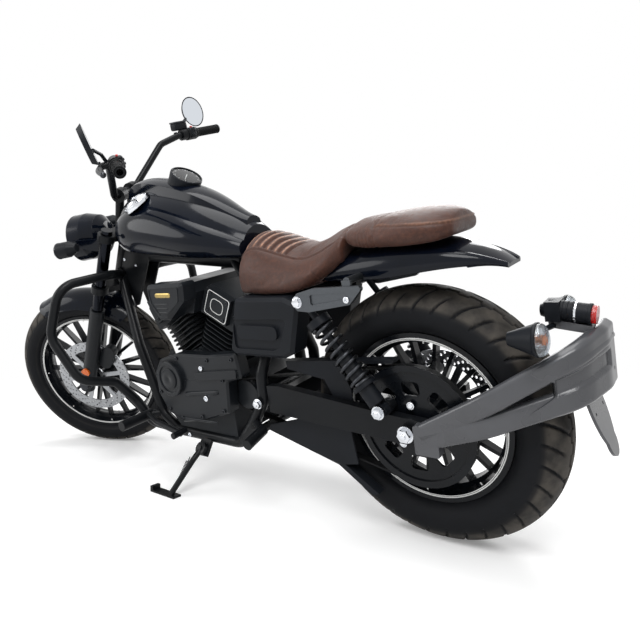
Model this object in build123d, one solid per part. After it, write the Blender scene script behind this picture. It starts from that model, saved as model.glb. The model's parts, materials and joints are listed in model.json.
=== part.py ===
from build123d import *
import os
from math import atan2, cos, degrees, pi, radians, sin, sqrt

os.makedirs("parts", exist_ok=True)

# A cruiser motorcycle: V-twin engine in a double-cradle frame, belt drive on the left, twin rear dampers, long raked
# fork, wide handlebar, stepped saddle with a separate pillion pad, and a tail lamp and plate arm carried by the swingarm.
# Everything is drawn on the upright machine: +X forward, +Y to its left, +Z up, origin on the ground under the rear axle.
# At the end the steering group turns to its left stop and the whole machine leans over onto its side stand.

# ---------------------------------------------------------------- driving sizes, millimetres and degrees
WHEELBASE = 1440.0
RAKE = 28.0                     # head angle from the vertical
AXLE_LEAD = 40.0                # front axle and fork legs ahead of the steering axis
STEER_LOCK = 28.0               # steering turn to each side
LEAN = 10.5                     # lean to the left on the side stand

REAR_TYRE_R = 323.0
REAR_TYRE_HALF_W = 77.0
REAR_BEAD_R = 203.0
REAR_RIM_HALF_W = 52.0
FRONT_TYRE_R = 335.0
FRONT_TYRE_HALF_W = 56.0
FRONT_BEAD_R = 241.0
FRONT_RIM_HALF_W = 38.0
RIM_FLANGE_H = 10.5             # flange above the bead seat
TYRE_SHOULDER_DROP = 0.40       # crown sagitta as a share of the tyre's half width
TREAD_T = 13.0                  # carcass and tread at the crown
SIDEWALL_T = 10.0

RUN = 0.05                      # radial clearance of a shaft in its bore
SEAT = 0.3                      # clearance of a piece that lies on another
AXLE_R = 10.0
PIVOT_BOLT_R = 10.0

FORK_HALF = 103.0               # fork leg from the centre plane
FORK_TUBE_R = 20.5
SLIDER_R = 27.0
SLIDER_TOP = 330.0              # along the leg from the axle
SLIDER_SOCKET = 40.0
FORK_TOP = 652.0
HEAD_BOTTOM = 430.0             # head tube ends along the steering axis
HEAD_TOP = 610.0
HEAD_R = 34.0
STEM_R = 15.0
CLAMP_T = 26.0
CLAMP_EAR_R = 31.0

FRAME_R = 17.0
RAIL_Y = 105.0                  # lower cradle rails
RAIL_Z = 187.0
GUARD_R = 16.0
UPRIGHT_Y = 128.0               # uprights at the swingarm pivot
PIVOT = (452.0, 345.0)          # swingarm pivot, x and z
BACKBONE_R = 28.0
SEAT_RAIL_Y = 80.0
SEAT_RAIL_Z = 637.0
SEAT_RAIL_R = 14.0
SEAT_LOW = SEAT_RAIL_Z + SEAT_RAIL_R + 0.3
COVER_OUT = 165.0               # outer face of the side covers

ARM_Y0 = 112.5                  # swingarm legs, inner and outer face
ARM_Y1 = 138.0
DAMPER_Y = 154.0
DAMPER_EYE_HALF = 12.5
DAMPER_EYE_R = 16.0
DAMPER_STUD_R = 7.0
DAMPER_TOP = (237.0, 642.0)     # eye centres, x and z
DAMPER_FOOT = (52.0, 377.0)
SPRING_R = 30.0
SPRING_WIRE = 8.0
SPRING_COILS = 9

PULLEY_Y0 = 83.0                # belt run, inner and outer face of the big pulley
PULLEY_R = 143.0
BELT_W = 21.0
BELT_T = 5.0
BELT_GAP = 0.5
DRIVE = (540.0, 345.0)          # gearbox pulley centre, x and z
DRIVE_R = 44.0

CRANK = (720.0, 360.0)          # crank centre, x and z
VEE_HALF = 27.5                 # half of the angle between the cylinders
CASE_HALF = 109.0
CASE_BOTTOM = RAIL_Z + FRAME_R + SEAT
COVER_T = 41.0
BARREL_BASE = 108.0             # along each cylinder from the crank
HEAD_BASE = 232.0
HEAD_H = 106.0
BARREL_R = 66.0
FIN_R = 82.0
FIN_T = 3.0
FIN_EXTRA = 26.0                # fins wider across the machine than along it
FIN_COUNT = 8
HEAD_HALF_X = 74.0
HEAD_HALF_Y = 108.0
HEAD_FINS = 3
HEAD_FIN_STEP = 13.0
HEAD_PLATE = 16.0               # raised cover on each side of a head

BAR_R = 12.5
BAR_WALL = 3.0
BAR_BORE_LEN = 60.0
GRIP_R = 17.5
GRIP_LEN = 118.0

NACELLE_R = 86.0
SIGNAL_R = 28.0
TAIL_SIGNAL_R = 34.0
TAIL_LAMP_R = 21.0

RIGHT = Plane.XZ                # the machine's plane of symmetry


# ---------------------------------------------------------------- drawing helpers
def box(x0, x1, y0, y1, z0, z1):
    return Pos((x0 + x1) / 2, (y0 + y1) / 2, (z0 + z1) / 2) * Box(x1 - x0, y1 - y0, z1 - z0)


def rod(start, end, radius):
    """Round bar between two points."""
    run = Vector(*end) - Vector(*start)
    return Plane(origin=start, z_dir=run) * Pos(0, 0, run.length / 2) * Cylinder(radius, run.length)


def cross_rod(x, z, y0, y1, radius):
    """Round bar across the machine."""
    return rod((x, y0, z), (x, y1, z), radius)


def bent_tube(points, bends, radius):
    """Round tube along straight runs joined by tangent arcs."""
    path = FilletPolyline(*points, radius=bends)
    start = Vector(*points[0])
    return sweep(Plane(origin=start, z_dir=Vector(*points[1]) - start) * Circle(radius), path=path)


def side_plate(outline, y0, y1):
    """Outline in side view, given as x and z, extruded from y0 to y1."""
    plane = Plane(origin=(0, y1, 0), x_dir=(1, 0, 0), z_dir=(0, -1, 0))
    return extrude(plane * make_face(Polyline(*outline, close=True)), y1 - y0)


def soft_plate(outline, y0, y1, corner):
    """Side plate with rounded corners in side view."""
    plane = Plane(origin=(0, y1, 0), x_dir=(1, 0, 0), z_dir=(0, -1, 0))
    face = make_face(Polyline(*outline, close=True))
    return extrude(plane * fillet(face.vertices(), corner), y1 - y0)


def shell_section(x, half, low, shoulder, top, foot=0.82, neck=0.74):
    """Closed section across the machine: flat bottom, bulged sides and a crowned top."""
    base = half * foot
    rise = half * neck
    middle = (low + shoulder) / 2
    lines = Line((-base, low), (base, low))
    lines += ThreePointArc((base, low), (half, middle), (rise, shoulder))
    lines += ThreePointArc((rise, shoulder), (0, top), (-rise, shoulder))
    lines += ThreePointArc((-rise, shoulder), (-half, middle), (-base, low))
    return Plane(origin=(x, 0, 0), x_dir=(0, 1, 0), z_dir=(1, 0, 0)) * make_face(lines)


def skin(table):
    return loft([shell_section(*row) for row in table])


def turned(profile):
    """Closed profile of radius and height, turned about Z."""
    return revolve(Plane.XZ * make_face(profile), Axis.Z)


def both(piece):
    """The piece and its twin across the centre plane, as two solids."""
    return group(piece, mirror(piece, about=RIGHT))


def group(*pieces):
    """Pieces of one kind kept together, each its own solid."""
    return Compound([solid for piece in pieces for solid in piece.solids()])


nodes = {}


def keep(name, body, piece):
    nodes[name] = (body, piece)


# ---------------------------------------------------------------- steering axis
u = Vector(-sin(radians(RAKE)), 0, cos(radians(RAKE)))          # up the steering axis
n = Vector(cos(radians(RAKE)), 0, sin(radians(RAKE)))           # square to it, forward
FRONT_AXLE = Vector(WHEELBASE, 0, FRONT_TYRE_R)
STEER_FOOT = FRONT_AXLE - n * AXLE_LEAD


def on_fork(along, ahead=AXLE_LEAD, y=0.0):
    """Point given along the steering axis, ahead of it and to the left."""
    return STEER_FOOT + u * along + n * ahead + Vector(0, y, 0)


# ---------------------------------------------------------------- wheels, drawn about Z and turned to lie across
def rim_profile(bead, half):
    flange = bead + RIM_FLANGE_H
    well = bead - 15
    right = [(bead - 7, half), (flange, half), (flange, half - 5), (bead, half - 5), (bead, half - 22), (well, half - 32)]
    inner = [(well - 6, half - 34), (bead - 13, half - 20)]
    outline = right + [(r, -h) for r, h in reversed(right)] + [(r, -h) for r, h in reversed(inner)] + inner
    return turned(Polyline(*outline, close=True))


def tyre_profile(radius, half, bead, rim_half):
    shoulder = radius - half * TYRE_SHOULDER_DROP
    flange = bead + RIM_FLANGE_H
    belly = (shoulder + flange) / 2
    edge = rim_half - 5 - SEAT
    toe = rim_half - 21
    foot = bead + SEAT
    inner_shoulder = shoulder - TREAD_T * 0.6
    inner_edge = half * 0.84 - SIDEWALL_T
    lines = Line((foot, toe), (foot, edge))
    lines += Line((foot, edge), (flange + 1, edge))
    lines += ThreePointArc((flange + 1, edge), (belly, half), (shoulder, half * 0.84))
    lines += ThreePointArc((shoulder, half * 0.84), (radius, 0), (shoulder, -half * 0.84))
    lines += ThreePointArc((shoulder, -half * 0.84), (belly, -half), (flange + 1, -edge))
    lines += Line((flange + 1, -edge), (foot, -edge))
    cavity = [(foot, toe), (flange + 4, edge - 12), (belly, half - SIDEWALL_T - 2), (inner_shoulder, inner_edge)]
    lines += Line((foot, -edge), (foot, -toe))
    lines += Polyline(*[(r, -h) for r, h in cavity])
    lines += ThreePointArc((inner_shoulder, -inner_edge), (radius - TREAD_T, 0), (inner_shoulder, inner_edge))
    lines += Polyline(*reversed(cavity))
    return turned(lines)


def spoke(reach, spread, twist, hub, thick_hub, thick_rim):
    """One limb of a split cast spoke, from the hub to the rim, leaning by the given spread in degrees."""
    near = Vector(hub, 0, 0).rotate(Axis.Z, twist + spread * 0.35)
    far = Vector(reach, 0, 0).rotate(Axis.Z, twist + spread)
    run = far - near
    at_hub = Plane(origin=near, x_dir=(0, 0, 1), z_dir=run) * Rectangle(thick_hub, 13)
    at_rim = Plane(origin=far, x_dir=(0, 0, 1), z_dir=run) * Rectangle(thick_rim, 9)
    return loft([at_hub, at_rim])


def cast_wheel(bead, half, hub_half, spokes, spread):
    wheel = rim_profile(bead, half) + Cylinder(40, 2 * hub_half)
    for i in range(spokes):
        for side in (-1, 1):
            wheel += spoke(bead - 17, side * spread, i * 360 / spokes, 34, 34, 22)
    return wheel - Cylinder(AXLE_R + RUN, 4 * hub_half)


def brake_disc(outer, inner, thick, hub_r, arms):
    """Ventilated brake ring on a spidered carrier."""
    disc = Cylinder(outer, thick) - Cylinder(inner, 2 * thick)
    disc += Cylinder(hub_r, thick)
    for i in range(arms):
        disc += Rot(0, 0, i * 360 / arms) * Pos((hub_r + inner) / 2, 0, 0) * Box(inner - hub_r + 12, 18, thick)
    return disc - Cylinder(28, 2 * thick)


ACROSS = Rot(-90, 0, 0)
REAR_AT = Pos(0, 0, REAR_TYRE_R) * ACROSS
FRONT_AT = Pos(*FRONT_AXLE) * ACROSS
REAR_HUB_HALF = 72.0
FRONT_HUB_HALF = 58.0
DISC_T = 5.0
FRONT_DISC_Y = FRONT_HUB_HALF + DISC_T / 2
REAR_DISC_Y = -(REAR_HUB_HALF + DISC_T / 2)

keep("rear_rim", "rear_wheel", REAR_AT * cast_wheel(REAR_BEAD_R, REAR_RIM_HALF_W, REAR_HUB_HALF, 10, 8))
keep("rear_tyre", "rear_wheel", REAR_AT * tyre_profile(REAR_TYRE_R, REAR_TYRE_HALF_W, REAR_BEAD_R, REAR_RIM_HALF_W))
keep("front_rim", "front_wheel", FRONT_AT * cast_wheel(FRONT_BEAD_R, FRONT_RIM_HALF_W, FRONT_HUB_HALF, 10, 8))
keep("front_tyre", "front_wheel", FRONT_AT * tyre_profile(FRONT_TYRE_R, FRONT_TYRE_HALF_W, FRONT_BEAD_R, FRONT_RIM_HALF_W))
front_disc = Pos(0, 0, FRONT_DISC_Y) * brake_disc(149, 112, DISC_T, 44, 6)
rear_disc = Pos(0, 0, REAR_DISC_Y) * brake_disc(135, 100, DISC_T, 44, 6)
keep("front_disc", "front_wheel", FRONT_AT * front_disc)
keep("rear_disc", "rear_wheel", REAR_AT * rear_disc)

# toothed belt pulley on the left of the rear hub: rim, outer flange, dished web with six rounded openings
PULLEY_FLANGE_R = PULLEY_R + 7
PULLEY_Y1 = PULLEY_Y0 + BELT_W + 1
pulley = Pos(0, 0, (PULLEY_Y0 + PULLEY_Y1) / 2) * (Cylinder(PULLEY_R, PULLEY_Y1 - PULLEY_Y0) - Cylinder(PULLEY_R - 9, 60))
pulley += Pos(0, 0, PULLEY_Y1 + 1) * (Cylinder(PULLEY_FLANGE_R, 2) - Cylinder(PULLEY_R - 9, 9))
web_y = PULLEY_Y1 - 6
web = Pos(0, 0, web_y) * Cylinder(PULLEY_R - 8, 7)
for i in range(8):
    web -= Rot(0, 0, 45 * i) * Pos(92, 0, web_y) * extrude(RectangleRounded(34, 46, 10), 20, both=True)
pulley += web
pulley += Pos(0, 0, (REAR_HUB_HALF + web_y) / 2) * Cylinder(38, web_y - REAR_HUB_HALF)
pulley -= Cylinder(AXLE_R + RUN, 400)
keep("rear_pulley", "rear_wheel", REAR_AT * pulley)


# ---------------------------------------------------------------- frame
def downtube(side):
    points = [
        (1172, 28 * side, 735),
        (1050, 88 * side, 470),
        (950, RAIL_Y * side, 235),
        (880, RAIL_Y * side, RAIL_Z),
        (590, RAIL_Y * side, RAIL_Z),
        (505, UPRIGHT_Y * side, 270),
        (PIVOT[0], UPRIGHT_Y * side, PIVOT[1]),
        (447, (UPRIGHT_Y - 2) * side, 422),
        (441, (SEAT_RAIL_Y + 4) * side, 498),
        (436, SEAT_RAIL_Y * side, SEAT_RAIL_Z),
    ]
    return bent_tube(points, [120, 60, 40, 60, 45, 40, 40, 40], FRAME_R)


def seat_rail(side):
    points = [
        (590, 14 * side, 735),
        (505, 62 * side, 672),
        (430, SEAT_RAIL_Y * side, SEAT_RAIL_Z),
        (DAMPER_TOP[0] - 20, SEAT_RAIL_Y * side, SEAT_RAIL_Z),
    ]
    return bent_tube(points, [50, 60], SEAT_RAIL_R)


head_low = on_fork(HEAD_BOTTOM, 0)
head_high = on_fork(HEAD_TOP, 0)
frame = rod(tuple(head_low), tuple(head_high), HEAD_R)
frame += rod(tuple(on_fork(540, 0)), (560, 0, 735), BACKBONE_R)
for side in (-1, 1):
    frame += downtube(side)
    frame += seat_rail(side)
    frame += side_plate([(1168, 742), (1098, 826), (990, 770), (1095, 600), (1112, 596)], 26 * side - 3, 26 * side + 3)
    mount = sorted((SEAT_RAIL_Y * side, (DAMPER_Y - DAMPER_EYE_HALF - SEAT) * side))
    frame += cross_rod(DAMPER_TOP[0], DAMPER_TOP[1], mount[0], mount[1], 16)
    stud = sorted((SEAT_RAIL_Y * side, (DAMPER_Y + DAMPER_EYE_HALF + 16) * side))
    frame += cross_rod(DAMPER_TOP[0], DAMPER_TOP[1], stud[0], stud[1], DAMPER_STUD_R)
frame += cross_rod(960, 248, -RAIL_Y, RAIL_Y, 12)
frame += cross_rod(574, 200, -RAIL_Y, RAIL_Y, 14)
frame += cross_rod(432, SEAT_RAIL_Z, -SEAT_RAIL_Y, SEAT_RAIL_Y, 12)
frame += cross_rod(DAMPER_TOP[0], SEAT_RAIL_Z, -SEAT_RAIL_Y, SEAT_RAIL_Y, 12)
frame -= rod(tuple(on_fork(HEAD_BOTTOM - 20, 0)), tuple(on_fork(HEAD_TOP + 20, 0)), STEM_R + RUN)
frame -= cross_rod(PIVOT[0], PIVOT[1], -200, 200, PIVOT_BOLT_R + RUN)

# stand bracket under the left rail: a plate square to the tilted pivot bolt
STAND_PIVOT = Vector(735, 142, 158)
STAND_TILT = 40.0
STAND_BOLT_R = 7.0
STAND_PLATE_T = 10.0
STAND_FOLD = 95.0
stand_axis = Vector(0, cos(radians(STAND_TILT)), sin(radians(STAND_TILT)))
stand_plane = Plane(origin=STAND_PIVOT, x_dir=(1, 0, 0), z_dir=stand_axis)
frame += stand_plane * Pos(0, -14, -STAND_PLATE_T / 2) * Box(46, 66, STAND_PLATE_T)
frame -= stand_plane * Cylinder(STAND_BOLT_R + RUN, 80)

# ---------------------------------------------------------------- swingarm, pivot bolt and rear axle
leg_outline = [
    (424, 318), (90, 296), (-44, 289), (-44, 352), (60, 361), (382, 397), (424, 394),
]
swingarm = cross_rod(PIVOT[0], PIVOT[1], -108, 108, 25)
swingarm += cross_rod(PIVOT[0], PIVOT[1], -150, 150, PIVOT_BOLT_R)
for side in (-1, 1):
    inner, outer = sorted((ARM_Y0 * side, ARM_Y1 * side))
    swingarm += side_plate(leg_outline, inner, outer)
    inner, outer = sorted((56 * side, 80 * side))
    swingarm += side_plate([(452, 322), (395, 322), (395, 368), (452, 368)], inner, outer)
    inner, outer = sorted((ARM_Y0 * side, (DAMPER_Y - DAMPER_EYE_HALF - SEAT) * side))
    swingarm += cross_rod(DAMPER_FOOT[0], DAMPER_FOOT[1], inner, outer, 17)
    inner, outer = sorted((ARM_Y0 * side, (DAMPER_Y + DAMPER_EYE_HALF + 8) * side))
    swingarm += cross_rod(DAMPER_FOOT[0], DAMPER_FOOT[1], inner, outer, DAMPER_STUD_R)
    inner, outer = sorted((UPRIGHT_Y * side + FRAME_R * side + SEAT * side, (UPRIGHT_Y + FRAME_R + 9) * side))
    swingarm += cross_rod(PIVOT[0], PIVOT[1], inner, outer, 16)
swingarm += box(386, 418, -ARM_Y1, ARM_Y1, 322, 370)
swingarm -= REAR_AT * Cylinder(AXLE_R + RUN, 400)
keep("swingarm", "chassis", swingarm)

rear_axle = REAR_AT * Cylinder(AXLE_R, 2 * (ARM_Y1 + 26))
for side in (-1, 1):
    rear_axle += REAR_AT * Pos(0, 0, side * (ARM_Y1 + SEAT + 7)) * Cylinder(19, 14)
gap_left = ARM_Y0 - (web_y + 3.5)
rear_axle += REAR_AT * Pos(0, 0, ARM_Y0 - SEAT - (gap_left - 2 * SEAT) / 2) * Cylinder(17, gap_left - 2 * SEAT)
gap_right = ARM_Y0 - (REAR_HUB_HALF + DISC_T)
rear_axle += REAR_AT * Pos(0, 0, -ARM_Y0 + SEAT + (gap_right - 2 * SEAT) / 2) * Cylinder(17, gap_right - 2 * SEAT)
keep("rear_axle", "chassis", rear_axle)


# ---------------------------------------------------------------- dampers
def along_damper(distance, y=DAMPER_Y):
    run = Vector(DAMPER_TOP[0] - DAMPER_FOOT[0], 0, DAMPER_TOP[1] - DAMPER_FOOT[1])
    return Vector(DAMPER_FOOT[0], y, DAMPER_FOOT[1]) + run.normalized() * distance


DAMPER_LEN = sqrt((DAMPER_TOP[0] - DAMPER_FOOT[0]) ** 2 + (DAMPER_TOP[1] - DAMPER_FOOT[1]) ** 2)
SPRING_FROM = 74.0
SPRING_TO = DAMPER_LEN - 80
damper = rod(tuple(along_damper(0)), tuple(along_damper(DAMPER_LEN)), 9)
damper += rod(tuple(along_damper(18)), tuple(along_damper(SPRING_FROM - 10)), 21)
damper += rod(tuple(along_damper(SPRING_FROM - 10)), tuple(along_damper(SPRING_FROM - SEAT)), SPRING_R + 1)
damper += rod(tuple(along_damper(SPRING_FROM - 1)), tuple(along_damper(SPRING_FROM + 84)), 19)
damper += rod(tuple(along_damper(SPRING_TO + SEAT)), tuple(along_damper(SPRING_TO + 20)), SPRING_R + 1)
for centre in (DAMPER_TOP, DAMPER_FOOT):
    damper += cross_rod(centre[0], centre[1], DAMPER_Y - DAMPER_EYE_HALF, DAMPER_Y + DAMPER_EYE_HALF, DAMPER_EYE_R)
for centre in (DAMPER_TOP, DAMPER_FOOT):
    damper -= cross_rod(centre[0], centre[1], 0, 300, DAMPER_STUD_R + RUN)
keep("dampers", "chassis", both(damper))

# each spring: wire turns drawn as ring beads on one another
spring_len = SPRING_TO - SPRING_FROM
pitch = spring_len / SPRING_COILS
core = SPRING_R - SPRING_WIRE
bead = [(core, 0)]
for i in range(SPRING_COILS):
    bead += [(SPRING_R - 3, i * pitch), (SPRING_R, (i + 0.28) * pitch), (SPRING_R - 3, (i + 0.56) * pitch)]
    bead += [(core + 3, (i + 0.66) * pitch), (core + 3, (i + 0.9) * pitch)]
bead += [(core + 3, spring_len), (core, spring_len)]
spring_turned = turned(Polyline(*bead, close=True))
spring_at = Plane(origin=along_damper(SPRING_FROM), z_dir=along_damper(SPRING_TO) - along_damper(SPRING_FROM))
spring = spring_at * spring_turned
keep("damper_springs", "chassis", both(spring))


# ---------------------------------------------------------------- belt and its gearbox pulley
def belt_loop(r_rear, r_drive):
    """Outline round both pulleys, in side view."""
    cx = DRIVE[0]
    cz = DRIVE[1] - REAR_TYRE_R
    span = sqrt(cx * cx + cz * cz)
    tilt = atan2(cz, cx)
    open_angle = atan2(sqrt(span * span - (r_rear - r_drive) ** 2), r_rear - r_drive)

    def at(centre, radius, angle):
        return (centre[0] + radius * cos(angle), centre[1] + radius * sin(angle))

    rear = (0, REAR_TYRE_R)
    up, down = tilt + open_angle, tilt - open_angle
    lines = Line(at(rear, r_rear, up), at(DRIVE, r_drive, up))
    lines += ThreePointArc(at(DRIVE, r_drive, up), at(DRIVE, r_drive, tilt), at(DRIVE, r_drive, down))
    lines += Line(at(DRIVE, r_drive, down), at(rear, r_rear, down))
    lines += ThreePointArc(at(rear, r_rear, down), at(rear, r_rear, tilt + pi), at(rear, r_rear, up))
    return make_face(lines)


belt_plane = Plane(origin=(0, PULLEY_Y0 + BELT_W, 0), x_dir=(1, 0, 0), z_dir=(0, -1, 0))
belt = extrude(belt_plane * belt_loop(PULLEY_R + BELT_GAP + BELT_T, DRIVE_R + SEAT + BELT_T), BELT_W)
belt -= extrude(belt_plane * belt_loop(PULLEY_R + BELT_GAP, DRIVE_R + SEAT), BELT_W)
keep("drive_belt", "chassis", belt)
drive_pulley = cross_rod(DRIVE[0], DRIVE[1], PULLEY_Y0, PULLEY_Y0 + BELT_W, DRIVE_R)
keep("drive_pulley", "chassis", drive_pulley)

# ---------------------------------------------------------------- engine
case = side_plate([
    (600, CASE_BOTTOM), (860, CASE_BOTTOM), (905, 250), (912, 400), (850, 470), (770, 500), (720, 470), (670, 500), (600, 478),
], -CASE_HALF, CASE_HALF)
case += box(480, 601, -100, 76, 300, 392)


def cylinder_frame(lean):
    """Frame along one cylinder, its Z from the crank up the bore."""
    return Pos(CRANK[0], 0, CRANK[1]) * Rot(0, lean, 0)


front_bore = cylinder_frame(VEE_HALF)
rear_bore = cylinder_frame(-VEE_HALF)


def finned_barrel():
    barrel = Pos(0, 0, (BARREL_BASE + HEAD_BASE) / 2) * Cylinder(BARREL_R, HEAD_BASE - BARREL_BASE)
    step = (HEAD_BASE - BARREL_BASE) / FIN_COUNT
    for i in range(FIN_COUNT):
        barrel += Pos(0, 0, BARREL_BASE + (i + 0.5) * step) * fin(FIN_R, FIN_T)
    return barrel


def fin(reach, thick):
    plate = Box(2 * reach - 14, 2 * reach + FIN_EXTRA, thick)
    return fillet(plate.edges().filter_by(Axis.Z), 34)


def cylinder_head():
    low = Pos(0, 0, HEAD_BASE + HEAD_H / 2) * Box(2 * HEAD_HALF_X, 2 * HEAD_HALF_Y, HEAD_H)
    low = chamfer(low.edges().filter_by(Axis.Y).group_by(Axis.Z)[-1], 24)
    for i in range(HEAD_FINS):
        low += Pos(0, 0, HEAD_BASE + 7 + i * HEAD_FIN_STEP) * fin(HEAD_HALF_X + 14, FIN_T)
    low += Pos(0, 0, HEAD_BASE + HEAD_H / 2 + 4) * Box(96, 2 * HEAD_HALF_Y + 2 * HEAD_PLATE, 84)
    return low - Pos(0, 0, HEAD_BASE) * Cylinder(BARREL_R - 14, 20)


front_barrel = front_bore * finned_barrel()
rear_barrel = rear_bore * finned_barrel()
front_head = front_bore * cylinder_head()
rear_head = rear_bore * cylinder_head()
for bore in (front_bore, rear_bore):
    case += bore * Pos(0, 0, BARREL_BASE - 30) * Box(150, 190, 60)
barrels_cut = front_bore * Pos(0, 0, BARREL_BASE + 60) * Cylinder(FIN_R + 40, 120)
case -= barrels_cut
case -= rear_bore * Pos(0, 0, BARREL_BASE + 60) * Cylinder(FIN_R + 40, 120)
front_barrel -= box(500, CRANK[0] + SEAT, -200, 200, 300, 700)
rear_barrel -= box(CRANK[0] - SEAT, 940, -200, 200, 300, 700)
keep("cylinder_barrels", "chassis", group(front_barrel, rear_barrel))
keep("cylinder_heads", "chassis", group(front_head, rear_head))

left_cover = soft_plate([
    (578, 298), (700, 258), (800, 240), (866, 268), (903, 330), (903, 402), (868, 446), (780, 470), (640, 472),
    (516, 486), (506, 412), (566, 396),
], CASE_HALF, CASE_HALF + COVER_T, 9)
left_cover = chamfer(left_cover.faces().sort_by(Axis.Y)[-1].edges(), 6)
left_cover += soft_plate([(690, 392), (610, 402), (520, 412), (516, 438), (610, 428), (700, 416)],
                         CASE_HALF, CASE_HALF + COVER_T + 7, 5)
left_cover += cross_rod(819, 388, CASE_HALF, CASE_HALF + COVER_T + 11, 58)
right_cover = soft_plate([
    (590, 240), (840, 232), (896, 300), (892, 420), (850, 470), (600, 478),
], -CASE_HALF - COVER_T, -CASE_HALF, 16)
right_cover += cross_rod(700, 350, -CASE_HALF - COVER_T - 12, -CASE_HALF, 84)
keep("engine_covers", "chassis", group(left_cover, right_cover))
case -= drive_pulley
case -= cross_rod(DRIVE[0], DRIVE[1], PULLEY_Y0 - 6, PULLEY_Y0 + 40, DRIVE_R + BELT_T + 8)
case += cross_rod(DRIVE[0], DRIVE[1], 70, PULLEY_Y0, 18)
case -= frame
keep("crankcase", "chassis", case)

# intake box in the vee, with a shield-shaped cover on each side
intake = side_plate([(676, 600), (764, 600), (792, 664), (776, 694), (664, 694), (648, 664)], -138, 138)
for neighbour in (front_head, rear_head, front_barrel, rear_barrel):
    intake -= neighbour
shield = soft_plate([(816, 700), (646, 703), (652, 648), (728, 590), (772, 588), (812, 642)], 138 + SEAT, 196, 12)
shield = chamfer(shield.faces().sort_by(Axis.Y)[-1].edges(), 10)
keep("intake", "chassis", group(intake, both(shield)))

# ---------------------------------------------------------------- exhaust on the right: two headers into one silencer
PIPE_Y = -180.0
PIPE_Z = 222.0
front_header = bent_tube(
    [(900, -50, 588), (972, -50, 550), (986, -140, 410), (905, PIPE_Y, 250), (820, PIPE_Y, PIPE_Z), (500, PIPE_Y, PIPE_Z)],
    [38, 60, 50, 60], 19)
rear_header = bent_tube(
    [(556, -90, 592), (556, PIPE_Y, 592), (548, PIPE_Y, 330), (512, PIPE_Y, PIPE_Z + 4), (440, PIPE_Y, PIPE_Z)],
    [48, 60, 40], 19)
silencer = rod((520, PIPE_Y, PIPE_Z), (380, PIPE_Y, PIPE_Z + 4), 25)
silencer += rod((394, PIPE_Y, PIPE_Z + 3), (62, PIPE_Y, PIPE_Z + 34), 50)
exhaust = front_header + silencer
exhaust += rear_header
exhaust -= front_head
exhaust -= rear_head
keep("exhaust", "chassis", exhaust)

# ---------------------------------------------------------------- side covers, tank, console, saddle
side_cover = soft_plate([
    (518, 500), (472, SEAT_LOW - 2), (300, SEAT_LOW - 2), (250, 630), (290, 500), (322, 486), (496, 486),
], 104, COVER_OUT, 12)
side_cover = chamfer(side_cover.faces().sort_by(Axis.Y)[-1].edges(), 9)
side_cover -= soft_plate([(488, 590), (292, 594), (330, 516), (350, 508), (492, 508)], COVER_OUT - 5, COVER_OUT + 5, 10)
side_cover += soft_plate([(472, 538), (472, 576), (330, 574), (330, 536)], COVER_OUT - 10, COVER_OUT + 4, 16)
side_cover -= frame
keep("side_covers", "chassis", both(side_cover))

SEAT_NOSE = 488.0               # front face of the rider seat; the tank ends just ahead of it
TANK_TAIL = SEAT_NOSE + SEAT
TANK_NOSE = FRONT_AXLE.X - 388


def along_tank(share):
    """Station from the tail of the tank, 0, to its nose, 1."""
    return TANK_TAIL + (TANK_NOSE - TANK_TAIL) * share


tank = skin([(along_tank(share), *row) for share, *row in [
    (0, 92, 752, 800, 838),
    (0.127, 122, 758, 836, 886),
    (0.375, 148, 770, 890, 950),
    (0.66, 155, 790, 935, 996),
    (0.872, 142, 806, 935, 1000),
    (1, 100, 822, 915, 962),
]])
tunnel = rod(tuple(on_fork(540, 0)), (400, 0, 718.5), BACKBONE_R + SEAT)
tank -= tunnel
tank -= box(300, TANK_NOSE + 48, -BACKBONE_R - SEAT, BACKBONE_R + SEAT, 600, 735)
tank -= side_plate([(TANK_NOSE + 58, 790), (400, 718), (400, 650), (TANK_NOSE + 58, 650)], -BACKBONE_R - SEAT, BACKBONE_R + SEAT)
tank -= rod(tuple(on_fork(HEAD_BOTTOM, 0)), tuple(on_fork(HEAD_TOP + 60, 0)), HEAD_R + 12)
console = skin([(along_tank(share), *row) for share, *row in [
    (0.02, 34, 780, 854, 866, 0.95, 0.84),
    (0.198, 52, 800, 908, 922, 0.95, 0.88),
    (0.375, 66, 830, 960, 975, 0.95, 0.90),
    (0.624, 74, 860, 1006, 1022, 0.95, 0.90),
    (0.837, 66, 880, 1022, 1036, 0.95, 0.88),
    (0.943, 50, 900, 1000, 1014, 0.95, 0.86),
]])
console -= tank
keep("tank_console", "chassis", console)
DIAL = Vector(along_tank(0.4855), 0, 1018)
DIAL_TILT = 38.0
dial_up = Vector(-sin(radians(DIAL_TILT)), 0, cos(radians(DIAL_TILT)))
dial = rod(tuple(DIAL - dial_up * 50), tuple(DIAL), 52)
dial -= tank
dial -= console
keep("speedometer", "chassis", dial)
cap_axis = Vector(0.25, 0.5, 0.83).normalized()
CAP = Vector(along_tank(0.739), 104, 962)
cap = rod(tuple(CAP - cap_axis * 40), tuple(CAP + cap_axis * 9), 44)
cap -= tank
cap -= console
keep("fuel_cap", "chassis", cap)
tank -= frame
keep("fuel_tank", "chassis", tank)

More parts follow.
